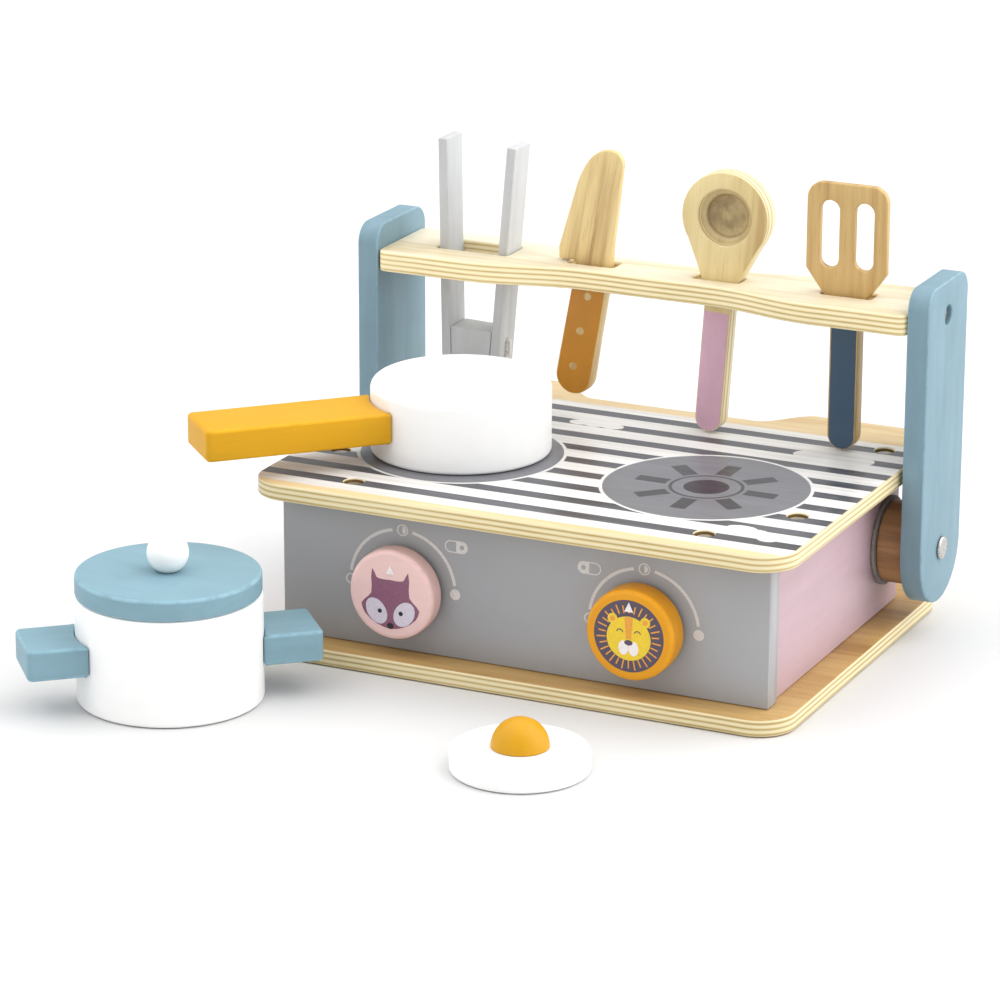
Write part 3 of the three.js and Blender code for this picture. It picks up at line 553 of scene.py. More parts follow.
def add_burners(finish, colour, white, streaks, x_mm, y_mm):
    """Two grey discs with a white rim, eight dashes, a ring and a dark centre."""
    side = finish.minus(finish.size(x_mm), BURNER_X)
    ahead = finish.minus(y_mm, BURNER_Y)
    radius = finish.length(side, ahead)
    grey = finish.ramp(streaks, (0.3, "68696F"), (0.5, "6F7075"), (0.7, "77787D"))
    colour = finish.mix(finish.span(radius, BURNER_R + 2.0, BURNER_R + 1.7), colour, white)
    colour = finish.mix(finish.span(radius, BURNER_R + 0.2, BURNER_R - 0.1), colour, grey)
    eighth = finish.over(finish.math("ARCTAN2", ahead, side), math.pi / 4)
    turn_off = finish.minus(finish.math("FRACT", finish.plus(eighth, 8.5)), 0.5)
    sideways = finish.times(radius, finish.math("SINE", finish.times(turn_off, math.pi / 4)))
    dash = finish.span(finish.size(sideways), DASH_HALF + 0.15, DASH_HALF - 0.15)
    dash = finish.times(dash, finish.band(radius, *DASH_REACH, 0.15))
    colour = finish.mix(dash, colour, "3A3A3F")
    colour = finish.mix(finish.band(radius, *BURNER_RING, 0.15), colour, "3A3A3F")
    return finish.mix(finish.span(radius, BURNER_CENTRE_R + 0.15, BURNER_CENTRE_R - 0.15), colour, "2A252D")


def hob_finish():
    """The hob board, with a print on the upper face that leaves the wood bare along the front and back."""
    finish, wood = board_finish("hob_print_finish", ("DCC69C", "D1B788", "B9985F"), HOB_LOW[2], HOB_TOP)
    x_mm, y_mm = finish.mm("x"), finish.mm("y")
    streaks = finish.noise(240, 4, 0.6, (0.05, 1, 1), (0.3, 0.1, 0))
    white = finish.ramp(streaks, (0.3, "CBC9C7"), (0.5, "DAD8D6"), (0.7, "E2E1DF"))
    dark = finish.ramp(streaks, (0.3, "3F4147"), (0.5, "4C4E54"), (0.7, "5A5C62"))
    colour = finish.mix(stripe_mask(finish, x_mm, y_mm), white, dark)
    colour = add_burners(finish, colour, white, streaks, x_mm, y_mm)
    ragged = finish.plus(y_mm, finish.times(finish.minus(streaks, 0.5), 3.0))
    area = finish.times(
        finish.band(ragged, HOB_WHITE_FRONT, HOB_WHITE_BACK, 1.2),
        finish.span(finish.normal["z"], 0.55, 0.8),
        finish.span(finish.size(x_mm), HALF_WIDTH - 0.6, HALF_WIDTH - 1.2),
    )
    finish.add_height(streaks, 0.05)
    return finish.done(finish.mix(area, wood, colour), finish.plus(finish.times(streaks, 0.2), 0.24))


def shelf_finish():
    """Pale birch ply, clear lacquered."""
    finish = Finish("shelf_ply", 0.42, coat=0.15, coat_roughness=0.3)
    grain = wood_grain(finish, "x", "E9DEC6", "E2D6BA", "CFBE98")
    edge = ply_layers(finish, "z", SHELF_LOW[2], SHELF_TOP, 8.4, 1.08)
    return finish.done(finish.mix(finish.facing("z"), edge, grain))


def bare_wood(name, grain_axis, woods, offset=(0, 0, 0), roughness=0.5):
    finish = Finish(name, roughness, coat=0.1, coat_roughness=0.35)
    return finish.done(wood_grain(finish, grain_axis, *woods, offset))


def front_panel_finish():
    """Grey paint on the faces, and layers showing through it on the two ends."""
    finish = Finish("grey_panel_paint")
    cloud = finish.noise(9, 3, 0.5)
    weave = finish.noise(1300, 2, 0.6)
    streaks = finish.noise(150, 4, 0.6, (0.08, 1, 1))
    base = finish.ramp(cloud, (0.3, "9B9CA0"), (0.5, "A0A1A4"), (0.7, "A5A6A9"))
    speckled = finish.mix(finish.times(weave, 0.25), base, "7A7B7E")
    layers = finish.ramp(finish.noise(120, 4, 0.6, (1, 1, 0.08)), (0.35, "8F8F92"), (0.6, "A6A6A9"))
    finish.add_height(weave, 0.01)
    finish.add_height(streaks, 0.02)
    colour = finish.mix(finish.facing("x"), speckled, layers)
    return finish.done(colour, finish.plus(finish.times(weave, 0.2), 0.28))


def back_panel_finish():
    low, high = low_high("back_panel")
    finish = Finish("back_ply_finish", 0.45)
    layers = ply_layers(finish, "y", low[1], high[1], BOARD_LAYERS)
    return finish.done(finish.mix(finish.facing("y"), layers, wood_grain(finish, "x")))


def steel_finish(name):
    """Turned steel with fine scratches."""
    finish = Finish(name, metallic=1.0)
    scratches = finish.noise(1200, 3, 0.6, (0.1, 1, 1))
    colour = finish.ramp(scratches, (0.35, "A9A5A0"), (0.6, "CBC8C3"))
    finish.add_height(scratches, 0.01)
    return finish.done(colour, finish.plus(finish.times(scratches, 0.25), 0.16))


def felt_finish():
    finish = Finish("grey_felt_pile", 0.95)
    fibres = finish.noise(900, 5, 0.7)
    finish.add_height(fibres, 0.1)
    return finish.done(finish.ramp(fibres, (0.3, "6E6967"), (0.5, "8A8583"), (0.7, "A39E9B")))


def cord_finish():
    """A braided elastic cord."""
    finish = Finish("white_cord", 0.85)
    braid = finish.noise(1400, 3, 0.6)
    finish.add_height(braid, 0.08)
    return finish.done(finish.ramp(braid, (0.3, "CFCBC2"), (0.6, "F0EEE8")))


def give(obj, material):
    obj.data.materials.clear()
    obj.data.materials.append(material)


def fit(obj, material, body, node):
    """Give a piece its material and its body, and let it stand for a CAD node."""
    give(obj, material)
    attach(obj, body)
    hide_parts(node)


def give_node(name, material):
    """Better material for a CAD node that stays."""
    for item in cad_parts[name].material_slots:
        item.material = material


# ---- the box
# The screws on a board's right half: x and y.
SCREW_SPOTS = [(98, -94.75), (129.5, -48.5), (129.5, 75.2)]
SHANK_R = 1.95
WELL_R = 5.4
WELL_DEPTH = 4.5


def board_outline(box_low, box_high):
    """A board with round corners, set in along the middle of its back edge."""
    half = box_high[0]
    front, back = box_low[1], box_high[1]
    corner, notch, notch_half, ramp, steps = 20, 22, 48, 27, 24
    points = right_corners(half, front, back, corner, 20)
    for i in range(steps + 1):
        t = i / steps
        points.append((notch_half + ramp * (1 - t), back - notch * smooth_step(t)))
    points += [(-x, y) for x, y in reversed(points)]
    return points


def screw_wells(face, inward):
    """Cutters for the wells that the screw heads sit in, and for the shanks behind them."""
    cutters = []
    ends = sorted((face + inward * WELL_DEPTH, face - inward * 2))
    for x, y in SCREW_SPOTS:
        for side in (-1, 1):
            place = shift(side * x, y, 0)
            cutters.append(drill(WELL_R, *ends, place))
            cutters.append(drill(SHANK_R, face - 12, face + 12, place, 24))
    return cutters


def make_boards():
    boards = (
        ("base_plywood", "base_board", BASE_LOW[2], 1, base_finish),
        ("hob_plywood", "hob_board", HOB_TOP, -1, hob_finish),
    )
    for name, node, face, inward, make_finish in boards:
        low, high = low_high(node)
        board = prism(name, board_outline(low, high), low[2], high[2])
        cut(board, *screw_wells(face, inward))
        smooth(ease(board, 1.1, 4))
        fit(board, make_finish(), "box", node)


def wall(name, node, corner, easing, facing):
    """An upright board of the CAD node's size, with eased edges, that faces along x or y."""
    low, high = low_high(node)
    if facing == "x":
        board = prism(name, rounded_box(low[1], low[2], high[1], high[2], corner, 3), low[0], high[0])
        move(board, SIDEWAYS)
    else:
        board = prism(name, rounded_box(low[0], low[2], high[0], high[2], corner, 3), -high[1], -low[1])
        move(board, UPRIGHT)
    return smooth(ease(board, easing, 3))


def make_walls():
    front = wall("front_board", "front_panel", 0.6, 0.5, "y")
    fit(front, front_panel_finish(), "box", "front_panel")
    pink = painted("pink_panel_paint", "BBA1A9", "x", "y", roughness=0.4)
    for side in ("left", "right"):
        board = wall(side + "_side_board", side + "_side_panel", 0.6, 0.4, "x")
        fit(board, pink, "box", side + "_side_panel")
    back = wall("back_plywood", "back_panel", 0.5, 0.4, "y")
    fit(back, back_panel_finish(), "box", "back_panel")


# ---- dials on the front panel
DIAL_R = 30.0
INK_THICK = 0.12


def ink(name, outlines, low, material, transform, body):
    """Printed marks: very thin raised shapes, all in one piece."""
    obj = prisms(name, outlines, low, low + INK_THICK)
    move(obj, transform)
    give(obj, material)
    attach(obj, body)


def ring_piece(x, y, inner, outer, start, end, steps=36):
    """The outline of part of a ring."""
    return arc(x, y, outer, start, end, steps) + arc(x, y, inner, end, start, steps)


def whole_ring(x, y, inner, outer, start):
    """A ring, as the outlines of its two halves."""
    return [ring_piece(x, y, inner, outer, first, first + 180) for first in (start, start + 180)]


def ink_finish(name, colour, dark):
    finish = Finish(name)
    grit = finish.noise(1100, 3, 0.6)
    finish.add_height(grit, 0.01)
    gritty = finish.ramp(grit, (0.3, dark), (0.55, colour))
    return finish.done(gritty, finish.plus(finish.times(grit, 0.15), 0.36))


def dial_outlines(x, z):
    """An arc over a knob: a half-filled circle at its top, and an open one and a dot at its ends."""
    line, end_z = 0.85, z - 0.5
    shapes = [ring_piece(x, z, DIAL_R - line, DIAL_R + line, start, start + 71) for start in (8, 101)]
    shapes += whole_ring(x, z + DIAL_R, 2.5, 3.2, 90)
    shapes.append(arc(x, z + DIAL_R, 2.0, -90, 90, 20))
    shapes.append(ellipse(x + DIAL_R, end_z, 2.9, 2.9, 0, 36))
    return shapes + whole_ring(x - DIAL_R, end_z, 2.1, 2.9, 0)


def switch_outlines(x, z, filled_side):
    """A small slide switch: a rounded frame, with one half filled round a ring."""
    half_long, half_high, line, hole_r = 6.5, 3.3, 0.6, 1.3
    frames = []
    for inset in (0, line):
        across, up = half_long - inset, half_high - inset
        frames.append(rounded_box(x - across, z - up, x + across, z + up, up - 0.1))
    outer, inner = frames
    following = list(range(1, len(outer))) + [0]
    shapes = [[outer[i], outer[j], inner[j], inner[i]] for i, j in enumerate(following)]
    # The filled half is drawn as an upper and a lower piece, round the ring's hole.
    reach = half_high - line
    end_x = filled_side * (half_long - half_high)
    hole = (0, 180) if filled_side > 0 else (180, 0)
    for up in (1, -1):
        piece = [(0, 0), (0, reach)] + arc(end_x, 0, reach, 90, 90 - 90 * filled_side, 10)
        piece += arc(end_x, 0, hole_r, *hole, 12)
        shapes.append([(x + u, z + v * up) for u, v in piece])
    return shapes


def make_dials():
    pale = ink_finish("dial_ink", "D2CFCC", "BDBAB7")
    face = shift(0, PANEL_FRONT, 0) @ UPRIGHT
    shapes = dial_outlines(-67.0, 44.4) + dial_outlines(68.4, 43.4)
    shapes += switch_outlines(-36.3, 69.8, 1) + switch_outlines(38.2, 69.5, -1)
    ink("dial_marks", shapes, 0.0, pale, face, "box")


# ---- knobs
def disc_profile(radius, low, top, low_edge, top_edge, low_steps, top_steps):
    """A turned disc, rounded round both faces."""
    profile = [(0, low)] + arc(radius - low_edge, low + low_edge, low_edge, -90, 0, low_steps)
    profile += arc(radius - top_edge, top - top_edge, top_edge, 0, 90, top_steps)
    return profile + [(radius * 0.5, top), (0, top)]


def ellipse(x, y, half_x, half_y, tilt=0, steps=40):
    points = []
    lean = math.radians(tilt)
    for i in range(steps):
        angle = 2 * math.pi * i / steps
        u, v = half_x * math.cos(angle), half_y * math.sin(angle)
        across = u * math.cos(lean) - v * math.sin(lean)
        points.append((x + across, y + u * math.sin(lean) + v * math.cos(lean)))
    return points


def mirrored(outline):
    """The outline's right half, given from the top to the bottom, with its mirror image on the left."""
    return outline + [(-x, y) for x, y in reversed(outline) if abs(x) > 1e-6]


def fox_layers():
    """A plain animal face: a plum head with two ears and pale cheeks, with small eyes and a nose."""
    ear = [(0, 8.5), (3.8, 8.3), (6.8, 8.6), (7.9, 9.2), (8.9, 11.4), (10.3, 13.6), (10.9, 9.0), (10.6, 4.0)]
    cheek = [(10.9, 0.2), (12.6, -1.9), (15.0, -4.0), (16.6, -6.2), (15.9, -8.8), (14.6, -11.2)]
    chin = [(11.6, -14.0), (7.8, -16.2), (3.6, -17.6), (0, -18.2)]
    patches = [ellipse(side * 7.9, -9.2, 5.4, 7.4, side * -35) for side in (-1, 1)]
    eyes = [ellipse(side * 6.0, -9.0, 1.2, 1.2) for side in (-1, 1)] + [ellipse(0, -16.4, 1.9, 1.6)]
    mark = [[(-2.5, 11.6), (2.5, 11.6), (0, 16.4)]]
    return [("plum", [mirrored(ear + cheek + chin)]), ("lilac", patches), ("black", eyes), ("pale", mark)]


def lion_layers():
    """A plain animal face: a yellow head with ears on a dark disc, with a mane of short orange rays."""
    rays = []
    for i in range(30):
        angle = math.radians(i * 12 + 6)
        across = Vector((-math.sin(angle), math.cos(angle))) * 0.35
        out = Vector((math.cos(angle), math.sin(angle)))
        inner, outer = out * 12.6, out * (17.6 if i % 2 else 16.6)
        points = [inner - across, outer - across, outer + across, inner + across]
        rays.append([(p.x, p.y - 0.4) for p in points])
    ears = [ellipse(side * 8.9, 8.3, 2.7, 2.7) for side in (-1, 1)]
    inner_ears = [ellipse(side * 8.9, 8.3, 1.5, 1.5) for side in (-1, 1)]
    brow = [[(-2.3, 10.1), (2.3, 10.1), (1.4, -1.5), (-1.4, -1.5)]]
    lobes = [ellipse(side * 2.75, -6.3, 2.7, 3.8) for side in (-1, 1)]
    lines = [ring_piece(side * 4.8, 1.6, 1.4, 1.9, 10, 170, 12) for side in (-1, 1)]
    lines.append(ellipse(0, -3.4, 2.3, 1.4))
    mark = [[(-2.4, 12.9), (2.4, 12.9), (0, 18.0)]]
    return [
        ("slate", [ellipse(0, 0, 19.0, 19.0, 0, 64)]), ("ray", rays),
        ("yellow", ears), ("yellow", [ellipse(0, -1.2, 12.0, 11.6)]), ("ray", inner_ears + brow),
        ("pale", lobes), ("slate", lines), ("pale", mark),
    ]


INKS = {
    "plum": ("85546B", "784A60"),
    "lilac": ("CFC6D2", "C2B8C6"),
    "black": ("1C1A1C", "141214"),
    "pale": ("E8E2E2", "DAD3D4"),
    "slate": ("4F4455", "463C4C"),
    "ray": ("E09A3A", "D28C2E"),
    "yellow": ("E4C42C", "D8B722"),
}


def make_knobs():
    inks = {name: ink_finish(name + "_ink", colour, dark) for name, (colour, dark) in INKS.items()}
    looks = {
        "left": ("rose_painted_wood", "E3C0BC", fox_layers()),
        "right": ("orange_painted_wood", "D89414", lion_layers()),
    }
    for side, (slot_name, colour, layers) in looks.items():
        body = side + "_dial"
        low, high = low_high(side + "_knob")
        lay = shift((low[0] + high[0]) / 2, 0, (low[2] + high[2]) / 2) @ UPRIGHT
        profile = disc_profile((high[0] - low[0]) / 2, -high[1], -low[1], 0.8, 3.0, 5, 12)
        knob = smooth(move(turned(side + "_knob_wood", profile), lay), 50)
        paint = painted(side + "_knob_paint", colour, "y", "x", uneven=0.025, edge_wear_and_highlight=1.08)
        fit(knob, paint, body, side + "_knob")
        for level, (ink_name, outlines) in enumerate(layers):
            # Each layer stands a little further out than the one that it covers.
            height = -low[1] + 0.05 * level - INK_THICK * 0.5
            ink(f"{side}_knob_print_{level}", outlines, height, inks[ink_name], lay, body)


# ---- rack
def make_arms():
    blue = painted("blue_arm_paint", "7894A1", "x", "z", roughness=0.5, uneven=0.05, relief=0.05)
    corner = 11
    for side, sign in (("left", -1), ("right", 1)):
        low, high = low_high(side + "_rack_arm")
        half = (high[1] - low[1]) / 2
        outline = arc(PIVOT_Y, PIVOT_Z, half, 180, 360, 48)
        outline += top_corners(PIVOT_Y - half, PIVOT_Y + half, high[2], corner, 14)
        arm = move(prism(side + "_arm_board", outline, low[0], high[0]), SIDEWAYS)
        outer = high[0] if sign > 0 else low[0]
        screw = shift(outer, PIVOT_Y + 0.5, (SHELF_LOW[2] + SHELF_TOP) / 2) @ turn(90 * sign, "Y")
        cut(arm, drill(WELL_R, -WELL_DEPTH, 4, screw), drill(2.35, -20, 20, screw, 32))
        smooth(ease(arm, 1.0, 4))
        fit(arm, blue, "rack", side + "_rack_arm")


# The shelf's wavy edges: the depth, half the level middle's width, and the length of the slope.
SHELF_FRONT_WAVE = (11.6, 35, 65)
SHELF_BACK_WAVE = (11.7, 25, 85)


def dip(edge, x):
    """How far a wavy edge of the shelf is set in at x."""
    depth, flat, slope = edge
    return depth * (1 - smooth_step((abs(x) - flat) / slope))


def shelf_outline():
    half = SHELF_HIGH[0]
    front, back, corner, steps = SHELF_LOW[1], SHELF_HIGH[1], 5, 60
    inner = half - corner
    places = [-inner + 2 * inner * i / steps for i in range(1, steps)]
    points = arc(-inner, front + corner, corner, 180, 270, 8)
    points += [(x, front + dip(SHELF_FRONT_WAVE, x)) for x in places]
    points += right_corners(half, front, back, corner, 8)
    points += [(x, back - dip(SHELF_BACK_WAVE, x)) for x in reversed(places)]
    points += arc(-inner, back - corner, corner, 90, 180, 8)
    return points


# Each slot's left, right, front and back.
SHELF_SLOTS = [
    (-126.6, -83.6, 58.7, 80.7), (-49.8, -22, 60.7, 73.3), (23, 50.3, 60.7, 73.3), (95.7, 124.3, 60.7, 73.3),
]


def make_shelf():
    shelf = prism("shelf_plywood", shelf_outline(), SHELF_LOW[2], SHELF_TOP)
    slots = [prism("slot", rounded_box(left, low, right, high, 2, 5), SHELF_LOW[2] - 5, SHELF_TOP + 5)
             for left, right, low, high in SHELF_SLOTS]
    cut(shelf, *slots)
    smooth(ease(shelf, 0.9, 4))
    fit(shelf, shelf_finish(), "rack", "rack_shelf")


def make_pivots():
    brown = bare_wood("brown_spacer_wood", "x", ("BF9768", "AB8157", "83603F"), (0.2, 0, 0), 0.55)
    felt = felt_finish()
    steel = steel_finish("bright_steel")
    rounds = (("spacer", brown, "brown_wood", 1.2), ("washer", felt, "grey_felt", 0.4))
    for side, sign in (("left", -1), ("right", 1)):
        for kind, material, slot_name, edge in rounds:
            node = f"{side}_pivot_{kind}"
            low, high = low_high(node)
            radius = (high[1] - low[1]) / 2
            profile = [(4.0, low[0])] + arc(radius - edge, low[0] + edge, edge, -90, 0, 6)
            profile += arc(radius - edge, high[0] - edge, edge, 0, 90, 6) + [(4.0, high[0])]
            obj = turned(node + "_round", profile)
            smooth(move(obj, shift(0, PIVOT_Y, PIVOT_Z) @ turn(90, "Y")), 50)
            fit(obj, material, "box", node)
        low, high = low_high(side + "_pivot_bolt")
        tip, end = (low[0], high[0]) if sign > 0 else (-high[0], -low[0])
        cap = end - 1.5
        profile = [(0, tip), (3.0, tip), (3.6, tip + 0.6), (3.6, cap)] + arc(5.8, cap + 0.4, 0.4, -90, 0, 3)
        profile += arc(5.2, end - 1.0, 1.0, 0, 70, 6) + [(3.5, end - 0.05), (0, end)]
        bolt = turned(side + "_pivot_pin", profile, 64)
        turned_round = turn(0 if sign > 0 else 180, "Z")
        smooth(move(bolt, turned_round @ shift(0, PIVOT_Y * sign, PIVOT_Z) @ turn(90, "Y")), 40)
        fit(bolt, steel, "box", side + "_pivot_bolt")


# ---- pan, pot and egg
POT_R = 47.8


def vessel_profile(radius, height, wall, floor, rim_out, rim_in, floor_edge):
    """A hollow turned body, rounded at its rim, outside and inside, and where its wall meets its floor."""
    inner = radius - wall
    profile = [(0, 0)] + arc(radius - 2, 2, 2, -90, 0, 8)
    profile += arc(radius - rim_out, height - rim_out, rim_out, 0, 90, 14)
    profile += arc(inner + rim_in, height - rim_in, rim_in, 90, 180, 10)
    profile += arc(inner - floor_edge, floor + floor_edge, floor_edge, 0, -90, 14)
    return profile + [(inner * 0.35, floor), (0, floor)]


def turned_toy(name, profile, place, steps=128):
    """A turned piece that stands at a place."""
    return smooth(move(turned(name, profile, steps), shift(*place)), 50)


def handle(name, width, thick, reach, middle_z, body_radius, direction, foot):
    """A flat block whose inner end is hollowed to fit round a pan or pot that stands on its foot."""
    half, corner = width / 2, 3
    meet = math.degrees(math.asin(half / (body_radius + 0.3)))
    outline = arc(0, 0, body_radius + 0.3, meet, -meet, 24)
    outline += right_corners(reach, -half, half, corner, 8)
    bar = prism(name, outline, middle_z - thick / 2, middle_z + thick / 2)
    smooth(ease(bar, 2.0, 5, 50))
    bar.matrix_world = shift(*foot) @ turn(direction, "Z")
    return bar


def centre_of(node):
    low, high = low_high(node)
    return (low[0] + high[0]) / 2, (low[1] + high[1]) / 2, low, high


def make_pan(white):
    x, y, low, high = centre_of("pan_bowl")
    foot = (x, y, low[2])
    radius, height = (high[0] - low[0]) / 2, high[2] - low[2]
    floor = height - 24
    profile = vessel_profile(radius, height, wall=10.5, floor=floor, rim_out=5.5, rim_in=3.5, floor_edge=12)
    fit(turned_toy("pan_wood", profile, foot), white, "pan", "pan_bowl")
    orange = painted("orange_handle_paint", "D09906", "z", "x", roughness=0.5, uneven=0.035,
                     relief=0.05, edge_wear_and_highlight=1.1)
    bar = handle("pan_handle_wood", 38, 17, 144.6, 20.8, radius, 225.3, foot)
    fit(bar, orange, "pan", "pan_handle")


def make_pot(white):
    x, y, low, high = centre_of("pot_body")
    foot = (x, y, 0)
    profile = vessel_profile(POT_R, high[2], wall=9, floor=8, rim_out=2.5, rim_in=1.5, floor_edge=4)
    fit(turned_toy("pot_wood", profile, foot), white, "pot", "pot_body")
    blue = painted("blue_handle_paint", "7B9CA9", "z", "x", roughness=0.5, relief=0.06)
    for side, direction, middle_z in (("right", 41, 26.2), ("left", 221, 28.8)):
        bar = handle(f"pot_{side}_handle_wood", 37.5, 16.5, 76, middle_z, POT_R, direction, foot)
        fit(bar, blue, "pot", "pot_handle_" + side)
    low, high = low_high("pot_lid")
    radius, lip, top = (high[0] - low[0]) / 2, low[2], high[2]
    profile = [(0, lip), (37.4, lip), (38, lip + 0.6), (38, lip + 3)] + arc(radius - 1, lip + 4, 1, -90, 0, 5)
    profile += arc(radius - 2.2, top - 2.2, 2.2, 0, 90, 12) + [(radius * 0.5, top), (0, top)]
    lid = turned_toy("lid_wood", profile, foot)
    lid_paint = painted("blue_lid_paint", "7B9CA9", "z", "x", roughness=0.5, uneven=0.03, relief=0.05)
    fit(lid, lid_paint, "lid", "pot_lid")
    low, high = low_high("lid_ball")
    radius = 10.7
    centre_z = high[2] - radius
    start = math.degrees(math.asin((low[2] - centre_z) / radius))
    profile = [(0, low[2])] + arc(0, centre_z, radius, start, 90, 40)[:-1] + [(0, high[2])]
    ball = turned_toy("lid_ball_wood", profile, foot, 64)
    fit(ball, white, "lid", "lid_ball")


def make_egg(white):
    x, y, low, high = centre_of("egg_white")
    profile = disc_profile((high[0] - low[0]) / 2, 0, high[2], 1.5, 3.5, 6, 14)
    egg = turned_toy("egg_white_wood", profile, (x, y, 0))
    fit(egg, white, "egg", "egg_white")
    low, high = low_high("egg_yolk")
    radius = (high[0] - low[0]) / 2
    profile = [(0, low[2])] + arc(0, low[2], radius, 0, 90, 32)[:-1] + [(0, low[2] + radius)]
    yolk = turned_toy("egg_yolk_wood", profile, (x, y, 0), 96)
    orange = painted("yolk_paint", "C8920A", "x", "z", roughness=0.45, uneven=0.03, relief=0.05, edge_wear_and_highlight=1.0)
    fit(yolk, orange, "egg", "egg_yolk")


# ---- utensils
UTENSIL_Y = 67
# The lower end of the spoon's and the spatula's handle, below the shelf's top.
HANDLE_END = -84


def in_slot(obj, x, lean):
    """Stand a utensil in its slot, with the origin of its outline at the shelf's top."""
    obj.matrix_world = shift(x, UTENSIL_Y, SHELF_TOP) @ turn(lean, "Y")


def taper(obj, thick, blade, low, high):
    """Thin the blade from behind: the front face stays flat, and the back slopes between two heights."""
    bm = bmesh.new()
    bm.from_mesh(obj.data)
    for height in (low, high):
        everything = bm.verts[:] + bm.edges[:] + bm.faces[:]
        level = (0, 0, height * MM)
        bmesh.ops.bisect_plane(bm, geom=everything, plane_co=level, plane_no=(0, 0, 1), dist=1e-7)
    for vertex in bm.verts:
        if vertex.co.y > 0:
            t = min(max((vertex.co.z / MM - low) / (high - low), 0), 1)
            vertex.co.y = (thick / 2 - (thick - blade) * t) * MM
    bm.to_mesh(obj.data)
    bm.free()


def utensil_wood(name, woods, seed):
    """Pale lacquered wood with brown streaks."""
    finish = Finish(name, 0.46, coat=0.12, coat_roughness=0.3)
    return finish, wood_grain(finish, "z", *woods, (seed, 0.3, 0))


def painted_front(finish, wood, colour, top, low, half, middle=0.0, dots=()):
    """Paint on a handle's front between two heights, round at its lower end, with bare round dots in it."""
    front = finish.span(finish.normal["y"], -0.8, -0.93)
    x_mm, z_mm = finish.mm("x"), finish.mm("z")
    wander = finish.times(finish.minus(finish.noise(60, 3, 0.5), 0.5), 0.5)
    aside = finish.plus(finish.minus(x_mm, middle), wander)
    below = finish.math("MAXIMUM", finish.minus(low + half, z_mm), 0.0)
    inside = finish.span(finish.length(aside, below), half + 0.15, half - 0.15)
    mask = finish.times(inside, front, finish.span(z_mm, top + 0.3, top - 0.3))
    for dot_x, dot_z in dots:
        gap = finish.length(finish.minus(x_mm, dot_x), finish.minus(z_mm, dot_z))
        mask = finish.times(mask, finish.span(gap, 2.0, 2.3))
    coat = finish.uneven(finish.noise(60, 4, 0.6, (1, 1, 0.5)), colour, 0.04)
    return finish.done(finish.mix(mask, wood, coat))


def make_knife():
    thick = 7.5
    outline = [(-5.8, 0.2), (-5.8, -12), (-6.6, -62)] + arc(4.0, -63.2, 10.6, 180, 360, 24)
    outline += [(14.2, -40), (14.2, 3), (11.6, 57)] + arc(4.2, 57.2, 7.4, -4, 98, 16)
    outline += curve(outline[-1], (-5, 63.6), (-10.6, 56), (-12.8, 41), steps=16)
    outline += [(-17.0, 5), (-15.8, -1.6)]
    knife = move(prism("knife_wood", outline, -thick / 2, thick / 2), UPRIGHT)
    taper(knife, thick, 4.5, -12, 14)
    smooth(ease(knife, 0.9, 3, 30))
    in_slot(knife, -39.1, 9.5)
    finish, wood = utensil_wood("knife_finish", ("E8D29A", "DBC288", "B5935E"), 0.1)
    dots = [(4.2, -17.8), (3.3, -38), (2.7, -58.4)]
    look = painted_front(finish, wood, "BC7C0C", -1.5, -73.8, 9.6, 3.9, dots)
    fit(knife, look, "knife_body", "knife")


def spoon_finish(thick, head_up):
    """Layers on the sides, and in the turned bowl darker, blotchy end grain with painted shade over it."""
    finish, wood = utensil_wood("spoon_finish", ("DFCB95", "D3BC84", "B79A64"), 0.7)
    side = finish.span(finish.size(finish.normal["y"]), 0.75, 0.5)
    wood = finish.mix(side, wood, ply_layers(finish, "y", -thick / 2, thick / 2, 5.2))
    radius = finish.length(finish.minus(finish.mm("z"), head_up), finish.mm("x"))
    # The bowl is darkened: partly blotchy end grain, partly painted shade in the hollow.
    bowl = finish.times(finish.span(radius, 15.2, 14.6), finish.span(finish.mm("y"), -4.6, 1.0))
    blotch = finish.span(finish.noise(120, 4, 0.6, (1, 1, 1), (0.4, 0, 0)), 0.25, 0.75)
    end_grain_and_painted_shade = finish.times(bowl, finish.plus(finish.times(blotch, 0.5), 0.35))
    return painted_front(finish, finish.mix(end_grain_and_painted_shade, wood, "7D6440"), "D2A8B9", -17.5, HANDLE_END, 7.0)


def make_spoon():
    thick, handle_half, neck, shoulder, head_up, head_r = 11, 7.5, 10.8, -13, 34.4, 24.4
    side = [(handle_half, shoulder)]
    side += curve((handle_half, shoulder), (handle_half + 1.5, -3), (neck, 1), steps=12)
    outline = arc(0, handle_half + HANDLE_END, handle_half, 180, 360, 24) + side
    outline += arc(0, head_up, head_r, -35, 215, 72) + [(-x, z) for x, z in reversed(side)]
    spoon = move(prism("spoon_wood", outline, -thick / 2, thick / 2), UPRIGHT)
    # The hollow has a shallow wide step, then a narrower round bowl. The heights run inwards from the face.
    bowl = [(0, -8), (15.3, -8), (15.3, 2.9)] + arc(14.7, 2.9, 0.6, 0, 90, 4)
    bowl += [(13.0, 3.5), (12.4, 3.7), (12.2, 4.3)] + arc(7.7, 3.6, 4.5, 10, 84, 12) + [(4, 8.0), (0, 8.1)]
    cut(spoon, move(turned("hollow", bowl), shift(0, -thick / 2, head_up) @ turn(-90, "X")))
    smooth(ease(spoon, 0.9, 3, 40))
    in_slot(spoon, 39, 3.9)
    fit(spoon, spoon_finish(thick, head_up), "spoon_body", "spoon")


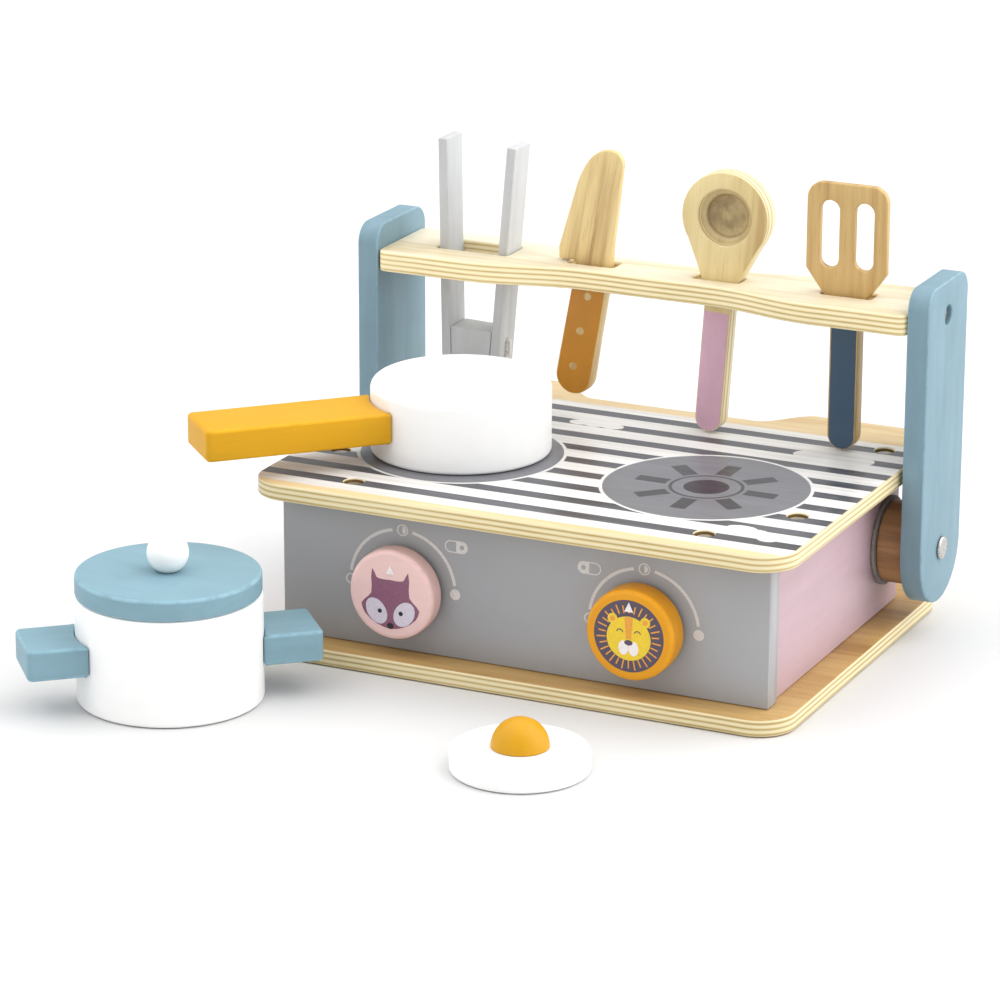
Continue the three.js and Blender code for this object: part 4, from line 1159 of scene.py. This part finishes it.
def make_spatula():
    thick, handle_half, blade_half, blade_top, corner = 8.8, 8, 22.4, 59.5, 9
    slot_x, slot_r, slot_low, slot_top = 9.6, 5.3, 14, 50
    outline = arc(0, handle_half + HANDLE_END, handle_half, 180, 360, 24)
    outline += [(handle_half, -6), (blade_half, 13)]
    outline += top_corners(-blade_half, blade_half, blade_top, corner, 14)
    outline += [(-blade_half, 13), (-handle_half, -6)]
    spatula = move(prism("spatula_wood", outline, -thick / 2, thick / 2), UPRIGHT)
    taper(spatula, thick, 4.5, -14, 16)
    slots = []
    for side in (-1, 1):
        outline = arc(side * slot_x, slot_top - slot_r, slot_r, 0, 180, 24)
        outline += arc(side * slot_x, slot_low + slot_r, slot_r, 180, 360, 24)
        slots.append(move(prism("slot", outline, -20, 20), UPRIGHT))
    cut(spatula, *slots)
    smooth(ease(spatula, 0.9, 3, 30))
    in_slot(spatula, 109.5, 0)
    finish, wood = utensil_wood("spatula_finish", ("D2B47A", "C09E62", "9A7040"), 1.3)
    look = painted_front(finish, wood, "364F66", -3, HANDLE_END, 7.0)
    fit(spatula, look, "spatula_body", "spatula")


def make_tongs():
    """Two leaning arms, with a block between them whose top is at the origin's height."""
    lean, half_depth, block_half, block_high = 2.9, 9.5, 12.2, 18
    grey = painted("grey_tongs_paint", "BCBDBE", "y", "z", roughness=0.6, uneven=0.05, relief=0.1, edge_wear_and_highlight=1.06)
    stand = shift(-105.9, 69.7, 135.8) @ turn(1.9, "Y")
    for side, sign in (("left", -1), ("right", 1)):
        outline = rounded_box(0, -19, 5.4, 104.5, 0.8, 4)
        arm = move(prism(side + "_tong_wood", outline, -half_depth, half_depth), UPRIGHT)
        holes = [drill(1.6, -30, 30, shift(0, 0, z) @ turn(90, "Y"), 24) for z in (-6, -13.5)]
        smooth(ease(cut(arm, *holes), 0.7, 3))
        move(arm, Matrix.Scale(sign, 4, (1, 0, 0)) @ shift(12.5, 0, 0) @ turn(lean, "Y"))
        if sign < 0:
            arm.data.flip_normals()
        arm.matrix_world = stand
        fit(arm, grey, "tongs_" + side, side + "_tong_arm")
    low_half = block_half - block_high * math.tan(math.radians(lean))
    outline = [(-low_half, -block_high), (low_half, -block_high), (block_half, 0), (-block_half, 0)]
    block = move(prism("tongs_block_wood", outline, -half_depth, half_depth), UPRIGHT)
    smooth(ease(block, 0.7, 3))
    block.matrix_world = stand
    fit(block, grey, "tongs_middle", "tongs_block")
    give_node("tongs_elastic", cord_finish())


def finish_small_nodes():
    """Fixings and dowels keep their CAD shapes."""
    steel = steel_finish("screw_steel")
    dowel = bare_wood("dowel_wood", "z", ("E3C896", "D6B67F", "B8935A"))
    felt = felt_finish()
    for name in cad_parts:
        if "screw" in name or name.endswith(("_nut", "knob_bolt")):
            give_node(name, steel)
        elif "dowel" in name:
            give_node(name, dowel)
        elif name.endswith("knob_washer"):
            give_node(name, felt)


# ---- floor and light
def make_floor():
    bm = bmesh.new()
    bmesh.ops.create_grid(bm, x_segments=1, y_segments=1, size=6)
    floor = as_object("floor", bm)
    floor.location.z = -0.0004
    give(floor, Finish("floor_paper", 0.8).done(linear("D4D4D4")))


def sun(name, towards, strength, softness):
    """A very large soft light, far away in one direction."""
    light = bpy.data.lights.new(name, "SUN")
    light.energy = strength
    light.angle = math.radians(softness)
    obj = bpy.data.objects.new(name, light)
    obj.rotation_euler = Vector(towards).to_track_quat("Z", "Y").to_euler()
    bpy.context.scene.collection.objects.link(obj)


def make_light():
    world = bpy.data.worlds.new("studio")
    bpy.context.scene.world = world
    world.use_nodes = True
    background = world.node_tree.nodes["Background"]
    background.inputs[0].default_value = (1, 1, 1, 1)
    background.inputs[1].default_value = 0.72
    sun("right_softbox", (0.80, 0.38, 0.46), 3.0, 85)
    sun("top_softbox", (-0.1, 0.1, 1.0), 1.4, 80)
    sun("left_softbox", (-0.75, -0.45, 0.48), 1.1, 80)
    bpy.context.scene.view_settings.view_transform = "Standard"


make_camera()
make_floor()
make_light()
WHITE_PAINT = painted("white_satin_paint", "F2F2F1", "z", "x", roughness=0.36, uneven=0.008,
                      relief=0.01, edge_wear_and_highlight=1.03)
make_boards()
make_walls()
make_dials()
make_knobs()
make_pivots()
make_arms()
make_shelf()
make_pan(WHITE_PAINT)
make_pot(WHITE_PAINT)
make_egg(WHITE_PAINT)
make_knife()
make_spoon()
make_spatula()
make_tongs()
finish_small_nodes()
